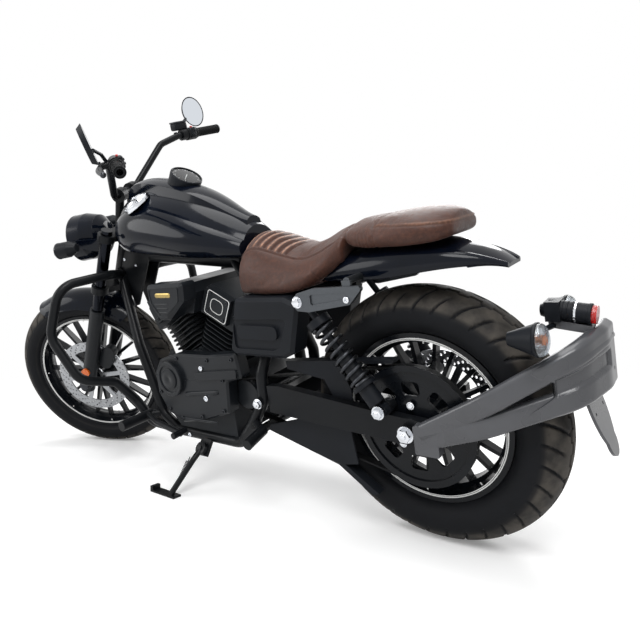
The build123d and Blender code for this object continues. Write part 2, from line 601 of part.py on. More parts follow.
rider_seat = skin([
    (SEAT_NOSE, 118, SEAT_LOW, 752, 790, 0.94, 0.80),
    (425, 133, SEAT_LOW, 768, 808, 0.95, 0.82),
    (335, 141, SEAT_LOW, 738, 770, 0.95, 0.84),
    (255, 138, 662, 734, 766, 0.92, 0.84),
    (190, 128, 688, 758, 788, 0.88, 0.82),
    (134, 110, 728, 792, 820, 0.86, 0.78),
])
rider_seat -= frame
fender_rows = [
    (226, 96, 668, 716, 727),
    (60, 110, 662, 744, 759.5),
    (-80, 104, 680, 744, 758),
    (-160, 84, 692, 726, 738),
    (-236, 44, 684, 690, 694),
]
fender_clear = skin([(x, half + SEAT, low - SEAT, side + SEAT, top + SEAT) for x, half, low, side, top in fender_rows])
rider_seat -= fender_clear
keep("rider_seat", "chassis", rider_seat)

pillion = skin([
    (133, 92, 766, 800, 816, 0.86, 0.80),
    (96, 112, 757, 802, 822, 0.90, 0.84),
    (20, 121, 753, 806, 827, 0.90, 0.86),
    (-60, 120, 754, 810, 831, 0.90, 0.86),
    (-112, 104, 759, 806, 826, 0.88, 0.84),
    (-140, 72, 770, 800, 815, 0.84, 0.80),
])
pillion -= fender_clear
keep("pillion_seat", "chassis", pillion)
fender = skin(fender_rows)
hollow = [(226.5, 92, 640, 712, 722), (60, 105, 640, 739, 755), (-80, 99, 650, 739, 753), (-160, 79, 660, 721, 733)]
fender -= skin(hollow)
keep("tail_fender", "chassis", fender)

strut_y0 = DAMPER_Y + DAMPER_EYE_HALF + SEAT
strut = soft_plate([(256, 640), (236, 664), (186, 676), (40, 680), (84, 636), (205, 617), (240, 620)], strut_y0, strut_y0 + 13, 7)
strut -= soft_plate([(196, 660), (82, 666), (98, 648), (196, 634)], strut_y0 + 9, strut_y0 + 13, 5)
strut -= cross_rod(DAMPER_TOP[0], DAMPER_TOP[1], 0, 300, DAMPER_STUD_R + RUN)
strut += cross_rod(90, 690, 80, strut_y0 + 4, 9)
strut += side_plate([(80, 660), (100, 660), (102, 692), (78, 692)], strut_y0, strut_y0 + 8)
strut -= fender
strut = max(strut.solids(), key=lambda s: s.volume)
keep("fender_struts", "chassis", both(strut))

# ---------------------------------------------------------------- guards round the engine
guard = bent_tube([
    (1160, 32, 716), (1110, 112, 730), (1150, 292, 724), (1186, 334, 560), (1110, 300, 404),
    (1078, 190, 366), (1054, 136, 282), (1010, 116, 202), (925, RAIL_Y, 191),
], [50, 78, 84, 66, 44, 44, 45], GUARD_R)
guard -= frame
guard = max(guard.solids(), key=lambda s: s.volume)
keep("engine_guards", "chassis", both(guard))

# ---------------------------------------------------------------- foot controls and pegs
peg = rod((952, RAIL_Y, 240), (990, 142, 240), 12)
peg += rod((990, 130, 240), (990, 254, 243), 17)
peg -= frame
peg = max(peg.solids(), key=lambda s: s.volume)
shifter = bent_tube([(986, 150, 246), (905, 176, 238), (762, 196, 228)], [60], 9)
shifter += rod((770, 170, 229), (770, 222, 229), 10)
brake_pedal = bent_tube([(994, -150, 246), (1040, -176, 262), (1074, -180, 276)], [40], 9)
brake_pedal += rod((1070, -160, 275), (1070, -205, 275), 12)
keep("rider_pegs", "chassis", Compound(list((peg + shifter).solids()) + list((mirror(peg, about=RIGHT) + brake_pedal).solids())))
passenger = rod((498, UPRIGHT_Y, 280), (440, 168, 274), 12)
passenger += rod((440, 160, 274), (436, 236, 262), 15)
passenger -= frame
passenger -= swingarm
passenger = max(passenger.solids(), key=lambda s: s.volume)
keep("passenger_pegs", "chassis", both(passenger))
keep("main_frame", "chassis", frame)

# ---------------------------------------------------------------- belt guard
GUARD_Y1 = ARM_Y0 - SEAT
TYRE_CLEAR_Y = REAR_TYRE_HALF_W + 6
belt_guard = side_plate([(362, 462), (30, 486), (30, 478), (345, 452)], TYRE_CLEAR_Y, GUARD_Y1)
belt_guard += side_plate([(362, 462), (190, 474), (160, 400), (160, 348), (205, 350), (240, 420), (360, 440)], GUARD_Y1 - 4, GUARD_Y1)
lower_guard = side_plate([(458, 262), (224, 200), (120, 130), (140, 122), (232, 188), (462, 250)], TYRE_CLEAR_Y, GUARD_Y1)
lower_guard += side_plate([(462, 250), (458, 266), (300, 312), (180, 306), (170, 200), (232, 188)], GUARD_Y1 - 4, GUARD_Y1)
belt_guard -= belt
lower_guard -= belt
lower_guard -= frame
keep("belt_guards", "chassis", group(belt_guard, lower_guard))

# ---------------------------------------------------------------- plate arm round the rear wheel, tail lamp, signals
ARM_WALL = 26.0                 # across the arm's bar
ARM_BAR_H = 46.0
ARM_MID_Y = ARM_Y1 + SEAT + ARM_WALL / 2
ARM_BACK = 385.0                # arm behind the axle, and how far it wraps past the centre plane
ARM_WRAP_Y = -62.0


def arm_limb(start_z, slope):
    """One limb: straight beside the wheel, then swept round behind it, in a plane that rises to the rear."""
    along = Vector(-cos(radians(slope)), 0, sin(radians(slope)))
    plane = Plane(origin=(-40, 0, start_z), x_dir=along, z_dir=Vector(0, 1, 0).cross(along) * -1)
    reach = (ARM_BACK - 40) / cos(radians(slope))
    points = [(0, ARM_MID_Y), (reach - 215, ARM_MID_Y), (reach - 30, 78), (reach, -8), (reach, ARM_WRAP_Y)]
    if abs((plane * Pos(0, 1, 0)).position.Y - (plane * Pos(0, 0, 0)).position.Y - 1) > 0.01:
        points = [(a, -b) for a, b in points]
    path = plane * FilletPolyline(*points, radius=[150, 90, 60])
    start = plane * Pos(points[0][0], points[0][1], 0)
    section = Plane(origin=start.position, x_dir=(0, 1, 0), z_dir=along) * RectangleRounded(ARM_WALL, ARM_BAR_H, 11)
    return sweep(section, path=path)


upper_limb = arm_limb(330, 29.5)
lower_limb = arm_limb(316, 19)
plate_arm = upper_limb + lower_limb
plate_arm += box(-84, -26, ARM_Y1 + SEAT, ARM_Y1 + SEAT + ARM_WALL, 285, 352)
for x, y in ((-346, 92), (-ARM_BACK, ARM_WRAP_Y + 12)):
    plate_arm += rod((x, y, 440), (x, y, 530), 12)
plate_arm += side_plate([(-380, 535), (-296, 548), (-296, 566), (-380, 551.5)], -14, 14)
plate_arm += box(-ARM_BACK, -352, -22, 22, 424, 438)
plate_arm -= REAR_AT * Cylinder(21, 400)
keep("plate_arm", "chassis", plate_arm)
FLAP_T = 6.0
FLAP_TOP = Vector(-356, 0, 428)
FLAP_TILT = 16.0
PLATE_DROP = 58.0               # plate bolts below the flap's top, and half their distance
PLATE_HALF = 34.0
PLATE_HOLE_R = 3.3
flap_up = Vector(sin(radians(FLAP_TILT)), 0, cos(radians(FLAP_TILT)))
flap_plane = Plane(origin=FLAP_TOP, x_dir=(0, 1, 0), z_dir=Vector(0, 1, 0).cross(flap_up))
leaf = Line((-44, 0), (44, 0))
leaf += ThreePointArc((44, 0), (52, -62), (31, -122))
leaf += ThreePointArc((31, -122), (0, -158), (-31, -122))
leaf += ThreePointArc((-31, -122), (-52, -62), (-44, 0))
flap = extrude(flap_plane * make_face(leaf), FLAP_T / 2, both=True)
for side in (-1, 1):
    flap -= flap_plane * Pos(PLATE_HALF * side, -PLATE_DROP, 0) * Cylinder(PLATE_HOLE_R, 4 * FLAP_T)
flap -= plate_arm
keep("mudflap", "chassis", flap)
lamp = rod((-296, 0, 585), (-376, 0, 574), TAIL_LAMP_R)
lamp += box(-322, -292, -22, 22, 562, 604)
keep("tail_lamp", "chassis", lamp - plate_arm)
keep("tail_lamp_lens", "chassis", rod((-376.3, 0, 573.9), (-388, 0, 572.3), TAIL_LAMP_R - 2))

REAR_SIGNALS = [(1, -302.0, 122.0, 552.0), (-1, -302.0, -122.0, 552.0)]
housings = []
lenses = []
for side, x, y, z in REAR_SIGNALS:
    housing = Pos(x + 28, y, z) * Rot(0, -90, 0) * Cone(14, TAIL_SIGNAL_R, 56)
    stalk = rod((-306, 10 * side, 552), (x + 30, y, z), 6)
    housings += (housing + stalk - plate_arm).solids()
    lenses += (Pos(x - 12, y, z) * Rot(0, 90, 0) * Cylinder(TAIL_SIGNAL_R - 1, 22)).solids()
keep("rear_signals", "chassis", Compound(housings))
keep("rear_signal_lenses", "chassis", Compound(lenses))

# ---------------------------------------------------------------- rear caliper on the right leg
rear_caliper = side_plate([(70, 362), (150, 372), (150, 420), (110, 440), (50, 420)], -(ARM_Y0 - SEAT), -(REAR_HUB_HALF - 16))
disc_slot = Pos(0, 0, REAR_DISC_Y) * Cylinder(137, DISC_T + 4)
rear_caliper -= REAR_AT * disc_slot
keep("rear_caliper", "chassis", rear_caliper - swingarm)


# ---------------------------------------------------------------- fork
def fork_rod(y, t0, t1, radius):
    return rod(tuple(on_fork(t0, y=y)), tuple(on_fork(t1, y=y)), radius)


def clamp_plate(t0, t1):
    """Fork yoke between the two legs, from t0 to t1 up the steering axis."""
    plane = Plane(origin=on_fork(t0, 0), x_dir=n, z_dir=u)
    hub = Circle(CLAMP_EAR_R)
    bridge = make_face(Polyline(
        (-24, -20), (-24, 20), (AXLE_LEAD - 22, FORK_HALF), (AXLE_LEAD + 22, FORK_HALF),
        (AXLE_LEAD + 4, 0), (AXLE_LEAD + 22, -FORK_HALF), (AXLE_LEAD - 22, -FORK_HALF), close=True))
    ears = [Pos(AXLE_LEAD, FORK_HALF * s) * Circle(CLAMP_EAR_R) for s in (-1, 1)]
    return extrude(plane * (hub + bridge + ears[0] + ears[1]), t1 - t0)


yokes = clamp_plate(HEAD_BOTTOM - SEAT - CLAMP_T, HEAD_BOTTOM - SEAT)
yokes += clamp_plate(HEAD_TOP + SEAT, HEAD_TOP + SEAT + CLAMP_T)
yokes += rod(tuple(on_fork(HEAD_BOTTOM - 20, 0)), tuple(on_fork(HEAD_TOP + CLAMP_T, 0)), STEM_R)
for side in (-1, 1):
    yokes -= fork_rod(FORK_HALF * side, 200, 700, FORK_TUBE_R + RUN)
fork_tubes = Part()
sliders = []
for side in (-1, 1):
    y = FORK_HALF * side
    fork_tubes += fork_rod(y, SLIDER_TOP - SLIDER_SOCKET + SEAT, FORK_TOP, FORK_TUBE_R)
    slider = fork_rod(y, -30, SLIDER_TOP, SLIDER_R)
    slider += cross_rod(WHEELBASE, FRONT_TYRE_R, y - 27, y + 27, 24)
    slider -= fork_rod(y, SLIDER_TOP - SLIDER_SOCKET, SLIDER_TOP + 10, FORK_TUBE_R + RUN)
    slider -= cross_rod(WHEELBASE, FRONT_TYRE_R, -200, 200, AXLE_R + RUN)
    sliders += slider.solids()
keep("fork_tubes", "steering", fork_tubes)

# front brake caliper behind the left leg
front_caliper = rod(tuple(on_fork(96, -8, 52)), tuple(on_fork(96, -8, 84)), 26)
front_caliper += rod(tuple(on_fork(140, -14, 52)), tuple(on_fork(140, -14, 84)), 26)
cal_plane = Plane(origin=on_fork(0, 0, 84), x_dir=n, z_dir=(0, -1, 0))
front_caliper += extrude(cal_plane * Pos(-11, 118) * Rectangle(52, 44, rotation=-7), 32)
front_caliper += extrude(cal_plane * Pos(14, 118) * Rectangle(34, 40), 8)
front_caliper -= FRONT_AT * Pos(0, 0, FRONT_DISC_Y) * Cylinder(151, DISC_T + 4)
slider_left = fork_rod(FORK_HALF, -30, SLIDER_TOP, SLIDER_R + RUN)
front_caliper -= slider_left
keep("front_caliper", "steering", front_caliper)
keep("fork_sliders", "steering", Compound(sliders))

FORK_INNER = FORK_HALF - 27
front_axle = FRONT_AT * Cylinder(AXLE_R, 2 * (FORK_HALF + 34))
for side in (-1, 1):
    front_axle += FRONT_AT * Pos(0, 0, side * (FORK_HALF + 27 + SEAT + 5)) * Cylinder(16, 10)
left_gap = FORK_INNER - (FRONT_HUB_HALF + DISC_T)
front_axle += FRONT_AT * Pos(0, 0, FORK_INNER - SEAT - (left_gap - 2 * SEAT) / 2) * Cylinder(15, left_gap - 2 * SEAT)
right_gap = FORK_INNER - FRONT_HUB_HALF
front_axle += FRONT_AT * Pos(0, 0, -FORK_INNER + SEAT + (right_gap - 2 * SEAT) / 2) * Cylinder(15, right_gap - 2 * SEAT)
keep("front_axle", "steering", front_axle)

# mudguard hugging the front tyre, bolted to the sliders
MUD_R = FRONT_TYRE_R + 14
mud_section = Pos(MUD_R - 68, 0) * Circle(71) - Pos(MUD_R - 68, 0) * Circle(68)
mud_keep = Pos(MUD_R, 0) * Rectangle(112, 150)
mudguard = revolve(Plane.XZ * (mud_section & mud_keep), Axis.Z, 104)
mudguard = FRONT_AT * Rot(0, 0, -136) * mudguard
for side in (-1, 1):
    tab_y = sorted((67 * side, (FORK_HALF - 12) * side))
    mudguard += rod(tuple(on_fork(300, y=tab_y[0])), tuple(on_fork(300, y=tab_y[1])), 9)
for side in (-1, 1):
    mudguard -= fork_rod(FORK_HALF * side, -30, SLIDER_TOP, SLIDER_R + RUN)
keep("front_mudguard", "steering", mudguard)

# reflectors on the sliders
reflectors = []
for side in (-1, 1):
    tab_y = sorted(((FORK_HALF + 22) * side, (FORK_HALF + 34) * side))
    piece = rod(tuple(on_fork(60, 44, tab_y[0])), tuple(on_fork(60, 44, tab_y[1])), 16)
    piece -= fork_rod(FORK_HALF * side, -30, SLIDER_TOP, SLIDER_R + RUN)
    reflectors += piece.solids()
keep("fork_reflectors", "steering", Compound(reflectors))

# ---------------------------------------------------------------- handlebar
BAR_CLAMP = FRONT_AXLE + Vector(-365, 45, 677)
bar_half = [(1075, 0, 1012), (1075, 84, 1014), (985, 205, 1130), (930, 262, 1142), (828, 433, 1123)]
bar_points = [(x, -y, z) for x, y, z in reversed(bar_half[1:])] + bar_half[1:]
bar_bends = [40, 42, 42, 42, 42, 40]
bar = bent_tube(bar_points, bar_bends, BAR_R)
grip_dir = (Vector(*bar_half[4]) - Vector(*bar_half[3])).normalized()
BAR_END = Vector(*bar_half[4])
bar_bore = rod(tuple(BAR_END - grip_dir * BAR_BORE_LEN), tuple(BAR_END + grip_dir * 10), BAR_R - BAR_WALL)
bar -= bar_bore
bar -= mirror(bar_bore, about=RIGHT)
keep("handlebar", "steering", bar)
grip = rod(tuple(BAR_END - grip_dir * (GRIP_LEN + 2)), tuple(BAR_END - grip_dir * 2), GRIP_R)
grip -= rod(tuple(BAR_END - grip_dir * 200), tuple(BAR_END + grip_dir * 20), BAR_R + RUN)
keep("grips", "steering", both(grip))

risers = []
for side in (-1, 1):
    riser = rod(tuple(on_fork(HEAD_TOP + CLAMP_T + 2 * SEAT, 20, 45 * side)), (BAR_CLAMP.X, 45 * side, BAR_CLAMP.Z), 15)
    riser += rod((BAR_CLAMP.X, 45 * side - 16, BAR_CLAMP.Z), (BAR_CLAMP.X, 45 * side + 16, BAR_CLAMP.Z + 0.0), 25)
    riser -= bent_tube(bar_points, bar_bends, BAR_R + RUN)
    riser -= yokes
    risers += riser.solids()
keep("fork_yokes", "steering", group(yokes, Compound(risers)))

# switch housings, brake and clutch levers with their perches
SWITCH = BAR_END - grip_dir * (GRIP_LEN + 24)
control = rod(tuple(SWITCH - grip_dir * 20), tuple(SWITCH + grip_dir * 20), 24)
perch = SWITCH - grip_dir * 34
control += rod(tuple(perch - grip_dir * 12), tuple(perch + grip_dir * 16), 21)
fore = grip_dir.cross(Vector(0, 0, 1)).normalized()
control += rod(tuple(perch), tuple(perch + fore * 46), 11)
control += rod(tuple(perch + fore * 46), tuple(perch + fore * 44 + grip_dir * 120 + Vector(0, 0, -4)), 6.5)
control -= rod(tuple(BAR_END - grip_dir * 260), tuple(BAR_END + grip_dir * 20), BAR_R + RUN)
keep("hand_controls", "steering", both(control))

# mirrors on stems from the perches
MIRROR = FRONT_AXLE + Vector(-538, 408, 877)
mirror_face = Vector(-cos(radians(30)), -sin(radians(30)), 0.10).normalized()
mirror_plane = Plane(origin=MIRROR, x_dir=mirror_face.cross(Vector(0, 0, 1)), z_dir=mirror_face)
shell = loft([mirror_plane * Ellipse(52, 60), mirror_plane * Pos(0, 0, -16) * Ellipse(42, 50)])
stem_foot = perch + fore * 20
stem = rod(tuple(stem_foot), tuple(stem_foot + Vector(0, 20, 34)), 5.5)
stem += rod(tuple(stem_foot + Vector(0, 20, 34)), tuple(MIRROR - mirror_face * 12), 5)
mirror_body = shell + stem
mirror_body -= control
mirror_body -= extrude(mirror_plane * Pos(0, 0, -3) * Ellipse(48, 56), 10)
mirror_body = max(mirror_body.solids(), key=lambda s: s.volume)
keep("mirrors", "steering", both(mirror_body))
glass = extrude(mirror_plane * Pos(0, 0, -2.7) * Ellipse(47.6, 55.6), 2.4)
keep("mirror_glasses", "steering", both(glass))

# ---------------------------------------------------------------- headlight and front signals
LAMP = FRONT_AXLE + Vector(-178, 0, 545)
shell_line = [(0, 0), (NACELLE_R, 0), (NACELLE_R, -46), (72, -96), (44, -120), (0, -128)]
nacelle = turned(Polyline(*shell_line, close=True))
nacelle -= Cylinder(NACELLE_R - 6, 24)
lamp_at = Pos(LAMP.X + 52, 0, LAMP.Z) * Rot(0, 90, 0)
headlight = lamp_at * nacelle
bracket = side_plate([(LAMP.X + x, LAMP.Z + z) for x, z in [(-112, -58), (34, -8), (34, 16), (-122, 0)]],
                     NACELLE_R + SEAT + 4, NACELLE_R + SEAT + 10)
bracket += cross_rod(LAMP.X + 16, LAMP.Z + 4, NACELLE_R - 12, NACELLE_R + SEAT + 8, 9)
headlight += bracket + mirror(bracket, about=RIGHT)
for side in (-1, 1):
    headlight -= fork_rod(FORK_HALF * side, 200, 700, FORK_TUBE_R + RUN)
headlight -= yokes
headlight = max(headlight.solids(), key=lambda s: s.volume)
keep("headlight", "steering", headlight)
lens = Pos(0, 0, -1.7) * Cylinder(NACELLE_R - 6 - SEAT, 20)
lens = fillet(lens.edges().filter_by(GeomType.CIRCLE).sort_by(Axis.Z)[-1], 9)
keep("headlight_lens", "steering", lamp_at * lens)

signal_at = LAMP + Vector(38, 165, 4)
signal = rod(tuple(signal_at), tuple(signal_at - Vector(40, 0, 0)), SIGNAL_R)
signal += Pos(signal_at.X - 55, signal_at.Y, signal_at.Z) * Rot(0, -90, 0) * Cone(SIGNAL_R, 14, 30)
signal += cross_rod(signal_at.X - 22, signal_at.Z, NACELLE_R + 2 * SEAT + 10, signal_at.Y, 7)
keep("front_signals", "steering", both(signal))
signal_lens = rod(tuple(signal_at + Vector(SEAT, 0, 0)), tuple(signal_at + Vector(14, 0, 0)), SIGNAL_R - 1)
keep("front_signal_lenses", "steering", both(signal_lens))

# ---------------------------------------------------------------- how the machine stands
steer_axis = Axis(tuple(STEER_FOOT), tuple(u))


def turn_steering(shape, angle):
    return shape.rotate(steer_axis, angle)


def crown_radius(radius, half):
    sag = half * TYRE_SHOULDER_DROP
    chord = half * 0.84
    return (chord * chord + sag * sag) / (2 * sag)


wheel_axis = Vector(0, 1, 0).rotate(Axis((0, 0, 0), tuple(u)), STEER_LOCK)
front_centre = STEER_FOOT + (FRONT_AXLE - STEER_FOOT).rotate(Axis((0, 0, 0), tuple(u)), STEER_LOCK)
rear_centre = Vector(0, 0, REAR_TYRE_R)


def up_vector(pitch):
    """The world's vertical, seen from the machine."""
    lean = radians(LEAN)
    return Vector(-cos(lean) * sin(pitch), -sin(lean), cos(lean) * cos(pitch))


def tyre_low(centre, axis, radius, half, up):
    crown = crown_radius(radius, half)
    slope = up.dot(axis)
    return up.dot(centre) - (radius - crown) * sqrt(1 - slope * slope) - crown


pitch = 0.0
for _ in range(8):
    up = up_vector(pitch)
    front_low = tyre_low(front_centre, wheel_axis, FRONT_TYRE_R, FRONT_TYRE_HALF_W, up)
    rear_low = tyre_low(rear_centre, Vector(0, 1, 0), REAR_TYRE_R, REAR_TYRE_HALF_W, up)
    pitch += (front_low - rear_low) / WHEELBASE
GROUND = rear_low
STAND = Rot(-LEAN, 0, 0) * Rot(0, degrees(pitch), 0)

# ---------------------------------------------------------------- side stand, its foot flat on the ground
FOOT = (772.0, 262.0)           # x and y of the ankle
foot_z = (GROUND + 11 + cos(radians(LEAN)) * sin(pitch) * FOOT[0] + sin(radians(LEAN)) * FOOT[1]) / (cos(radians(LEAN)) * cos(pitch))
ankle = Vector(FOOT[0], FOOT[1], foot_z)
head_mid = STAND_PIVOT + stand_axis * 8
stand = stand_plane * Pos(0, 0, SEAT + 7) * Cylinder(20, 14)
stand += stand_plane * Pos(0, 0, 1) * Cylinder(STAND_BOLT_R, 36)
stand += stand_plane * Pos(0, 0, -STAND_PLATE_T - SEAT - 4) * Cylinder(12, 8)
stand += bent_tube([tuple(head_mid), tuple(head_mid + Vector(8, 34, -24)), tuple(ankle)], [40], 9)
foot_up = up_vector(pitch)
foot_plane = Plane(origin=ankle, x_dir=Vector(1, 0, 0) - foot_up * foot_up.X, z_dir=foot_up)
stand += foot_plane * Pos(34, -4, -8) * Box(112, 30, 6)
stand += foot_plane * Pos(84, -4, 0) * Box(12, 30, 14)
keep("side_stand", "side_stand", stand)

# ---------------------------------------------------------------- parked: steering on its left stop, leaning on the stand
placed = {}
for name, (body, piece) in nodes.items():
    if body in ("steering", "front_wheel"):
        piece = turn_steering(piece, STEER_LOCK)
    placed[name] = STAND * piece
whole = Compound(children=[Compound(list(p.solids())) for p in placed.values()])
bounds = whole.bounding_box()
SHIFT = Pos(-bounds.center().X, -bounds.center().Y, -bounds.min.Z)
for name, piece in placed.items():
    export_step(Compound(list((SHIFT * piece).solids())), f"parts/{name}.step")
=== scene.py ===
import bpy, bmesh, json, math
from math import cos, pi, radians, sin, sqrt
from mathutils import Matrix, Vector, noise


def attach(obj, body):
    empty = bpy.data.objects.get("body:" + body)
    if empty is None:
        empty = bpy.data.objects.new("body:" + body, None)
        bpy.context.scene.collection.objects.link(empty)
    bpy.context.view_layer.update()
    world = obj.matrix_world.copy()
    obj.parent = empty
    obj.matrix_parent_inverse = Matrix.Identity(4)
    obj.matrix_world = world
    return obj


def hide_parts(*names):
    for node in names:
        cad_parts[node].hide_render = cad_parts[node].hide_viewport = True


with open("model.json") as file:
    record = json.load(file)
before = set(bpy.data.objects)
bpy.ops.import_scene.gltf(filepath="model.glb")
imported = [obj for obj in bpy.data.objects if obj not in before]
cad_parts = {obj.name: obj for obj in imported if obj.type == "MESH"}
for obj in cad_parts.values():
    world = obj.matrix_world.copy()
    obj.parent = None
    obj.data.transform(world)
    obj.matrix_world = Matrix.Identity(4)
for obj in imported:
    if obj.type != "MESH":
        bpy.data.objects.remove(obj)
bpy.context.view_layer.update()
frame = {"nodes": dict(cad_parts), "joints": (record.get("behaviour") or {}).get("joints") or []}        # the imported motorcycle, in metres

nodes = frame["nodes"]
joints = {j["name"]: j for j in frame["joints"]}

# ---------------------------------------------------------------- where the machine stands
# Pieces are drawn on the upright machine in millimetres: X forward, Y to its left, Z up, origin on the
# ground under the rear axle. PARKED leans it on its side stand; STEERED also turns the steering group to
# its left stop.
RAKE = radians(28)
LOCK = radians(28)
AXLE_H = 323.0           # rear tyre's radius, and so the rear axle's height
WHEELBASE = 1440.0
FRONT_R = 335.0          # front tyre's radius
AXLE_LEAD = 40.0         # front axle ahead of the steering axis
REAR_HUB, FRONT_HUB = (0, AXLE_H), (WHEELBASE, FRONT_R)      # (x, z) of the axles
REAR_BEAD, FRONT_BEAD = 203.0, 241.0                         # radii of the rims' bead seats
REAR_RIM_HALF, FRONT_RIM_HALF = 52.0, 38.0                   # half the rims' widths
across = Vector(joints["rear_wheel_spin"]["axis"]).normalized()
up_fork = Vector(joints["steering"]["axis"]).normalized()
ahead = across.cross(up_fork).normalized()
bike_x = ahead * cos(RAKE) - up_fork * sin(RAKE)
bike_z = ahead * sin(RAKE) + up_fork * cos(RAKE)
turn = Matrix((bike_x, across, bike_z)).transposed().to_4x4()
axle_at = Vector(joints["rear_wheel_spin"]["pos_m"])
MM = Matrix.Scale(0.001, 4)
PARKED = Matrix.Translation(axle_at) @ turn @ Matrix.Translation((0, 0, -AXLE_H / 1000)) @ MM
fork_up = Vector((-sin(RAKE), 0, cos(RAKE)))
fork_out = Vector((cos(RAKE), 0, sin(RAKE)))
FRONT_AXLE = Vector((WHEELBASE, 0, FRONT_R))
STEER_FOOT = FRONT_AXLE - fork_out * AXLE_LEAD
STEERED = (PARKED @ Matrix.Translation(STEER_FOOT) @ Matrix.Rotation(LOCK, 4, fork_up)
           @ Matrix.Translation(-STEER_FOOT))
PLACE = {"chassis": PARKED, "rear_wheel": PARKED, "side_stand": PARKED, "steering": STEERED,
         "front_wheel": STEERED}


def on_fork(along, y):
    """Point on the line of the fork's legs, in millimetres up from the front axle's level and to the left."""
    return STEER_FOOT + fork_up * along + fork_out * AXLE_LEAD + Vector((0, y, 0))


# ---------------------------------------------------------------- finishes
def linear(code):
    """sRGB hex code as linear light."""
    parts = [int(code[i:i + 2], 16) / 255 for i in (1, 3, 5)]
    return tuple(c / 12.92 if c <= 0.04045 else ((c + 0.055) / 1.055) ** 2.4 for c in parts) + (1.0,)


def add(tree, kind, gives, inputs, **settings):
    """Adds a node with its settings, sets or links its inputs, and returns the named output."""
    node = tree.nodes.new("ShaderNode" + kind)
    for name, value in settings.items():
        setattr(node, name, value)
    for name, value in inputs.items():
        if isinstance(value, bpy.types.NodeSocket):
            tree.links.new(value, node.inputs[name])
        else:
            node.inputs[name].default_value = value
    return node.outputs[gives]


def finish(name, inputs):
    """New material whose Principled shader takes the given values."""
    material = bpy.data.materials.new(name)
    material.use_nodes = True
    shader = material.node_tree.nodes["Principled BSDF"]
    for key, value in inputs.items():
        shader.inputs[key].default_value = value
    return material, material.node_tree, shader.inputs


def grain(tree, size_mm, detail=2.0, rough=0.5, stretch=(1, 1, 1)):
    """Noise pattern whose cells are about the given size."""
    where = add(tree, "TexCoord", "Object", {})
    scaled = add(tree, "Mapping", "Vector", {"Vector": where, "Scale": stretch})
    inputs = {"Vector": scaled, "Scale": 1000 / size_mm, "Detail": detail, "Roughness": rough}
    return add(tree, "TexNoise", "Fac", inputs)


def relief(tree, look, height, depth_mm, strength=1.0, edge_mm=0.0):
    """Bump of the given depth on a shader's normal, over edges softened by edge_mm."""
    inputs = {"Height": height, "Strength": strength, "Distance": depth_mm / 1000}
    if edge_mm:
        inputs["Normal"] = add(tree, "Bevel", "Normal", {"Radius": edge_mm / 1000}, samples=6)
    tree.links.new(add(tree, "Bump", "Normal", inputs), look["Normal"])


def two_tone(tree, look, pattern, dark, light, rough_low, rough_high):
    """Colour and roughness that follow one pattern. Returns the colour."""
    shades = {"Factor": pattern, "A": linear(dark), "B": linear(light)}
    colour = add(tree, "Mix", "Result", shades, data_type="RGBA")
    tree.links.new(colour, look["Base Color"])
    scuffs = {"Value": pattern, "From Min": 0.3, "From Max": 0.7, "To Min": rough_low, "To Max": rough_high}
    tree.links.new(add(tree, "MapRange", "Result", scuffs), look["Roughness"])
    return colour


def painted(name, dark, light, roughness, coat, peel_mm, depth_mm, edge_mm=1.2, gloss=0.5):
    """Paint on metal: two near shades over a wide pattern, a fine peel and softened edges."""
    coats = {"Specular IOR Level": gloss, "Coat Weight": coat, "Coat Roughness": 0.04}
    material, tree, look = finish(name, coats)
    two_tone(tree, look, grain(tree, 90, 3.0), dark, light, roughness - 0.06, roughness + 0.08)
    relief(tree, look, grain(tree, peel_mm, 1.0), depth_mm, 0.5, edge_mm)
    return material


# Satin-enamelled plate arm: warmer and smoother than the frame's powder, so its bends catch a
# broad pale light.
arm_enamel = painted("satin_enamelled_steel_arm", "#37383b", "#4b4c50", 0.30, 0.2, 4.0, 0.03, 1.2, 0.45)
# Powder-coated steel: an even satin black with a slight orange peel that breaks up its highlights.
powder_coat = painted("powder_coated_steel", "#0b0c0e", "#15171a", 0.34, 0.05, 1.6, 0.05, 1.2, 0.12)
# Two-pack lacquer on pressed steel: a deep blue black under a clear coat, mirror-like on its crowned faces.
lacquer = painted("clear_coated_blue_black_lacquer", "#04070e", "#090f1b", 0.15, 0.15, 60, 0.01, 1.6, 0.12)
# Wrinkle-coated casting: charcoal with a fine raised grain that dulls the highlight.
wrinkle = painted("wrinkle_coated_aluminium_casting", "#121416", "#202327", 0.46, 0.0, 1.1, 0.16, 1.2, 0.16)
# Satin-coated casting of covers: darker and smoother than the case they close.
cover_coat = painted("satin_coated_die_casting", "#101215", "#1d2024", 0.34, 0.05, 2.0, 0.05, 1.2, 0.18)
# Moulded ABS: near-black plastic with the shallow spark-eroded texture of its mould.
moulded = painted("spark_textured_moulded_abs", "#0c0e12", "#181b20", 0.44, 0.0, 0.9, 0.05, 1.2, 0.14)
# Black cast wheel: gloss powder over an aluminium casting, with a sharper light along each spoke.
wheel_coat = painted("gloss_coated_cast_aluminium", "#07090c", "#0f1217", 0.26, 0.1, 3.0, 0.03, 1.2, 0.15)
# Baked heat-resistant paint on the exhaust: a flat black with no depth to its shine.
heat_paint = painted("baked_heat_resistant_paint", "#0b0b0c", "#161618", 0.44, 0.0, 0.8, 0.05, 1.2, 0.15)
# White enamel pinstripe, brushed on: a thin bright line on the black rims and the rear head's covers.
pinstripe = painted("white_enamel_pinstripe", "#d9dad8", "#efefed", 0.35, 0.3, 3.0, 0.01)
# Screen-printed dial: a matt black disc that its pale marks stand out from.
dial_black = painted("screen_printed_dial_black", "#08090a", "#101113", 0.55, 0.0, 2.0, 0.01, 0.0)
# Moulded red ABS of the stop buttons: a small spot of plain colour.
button_red = painted("moulded_red_button", "#a3120c", "#c01a12", 0.35, 0.2, 2.0, 0.02)


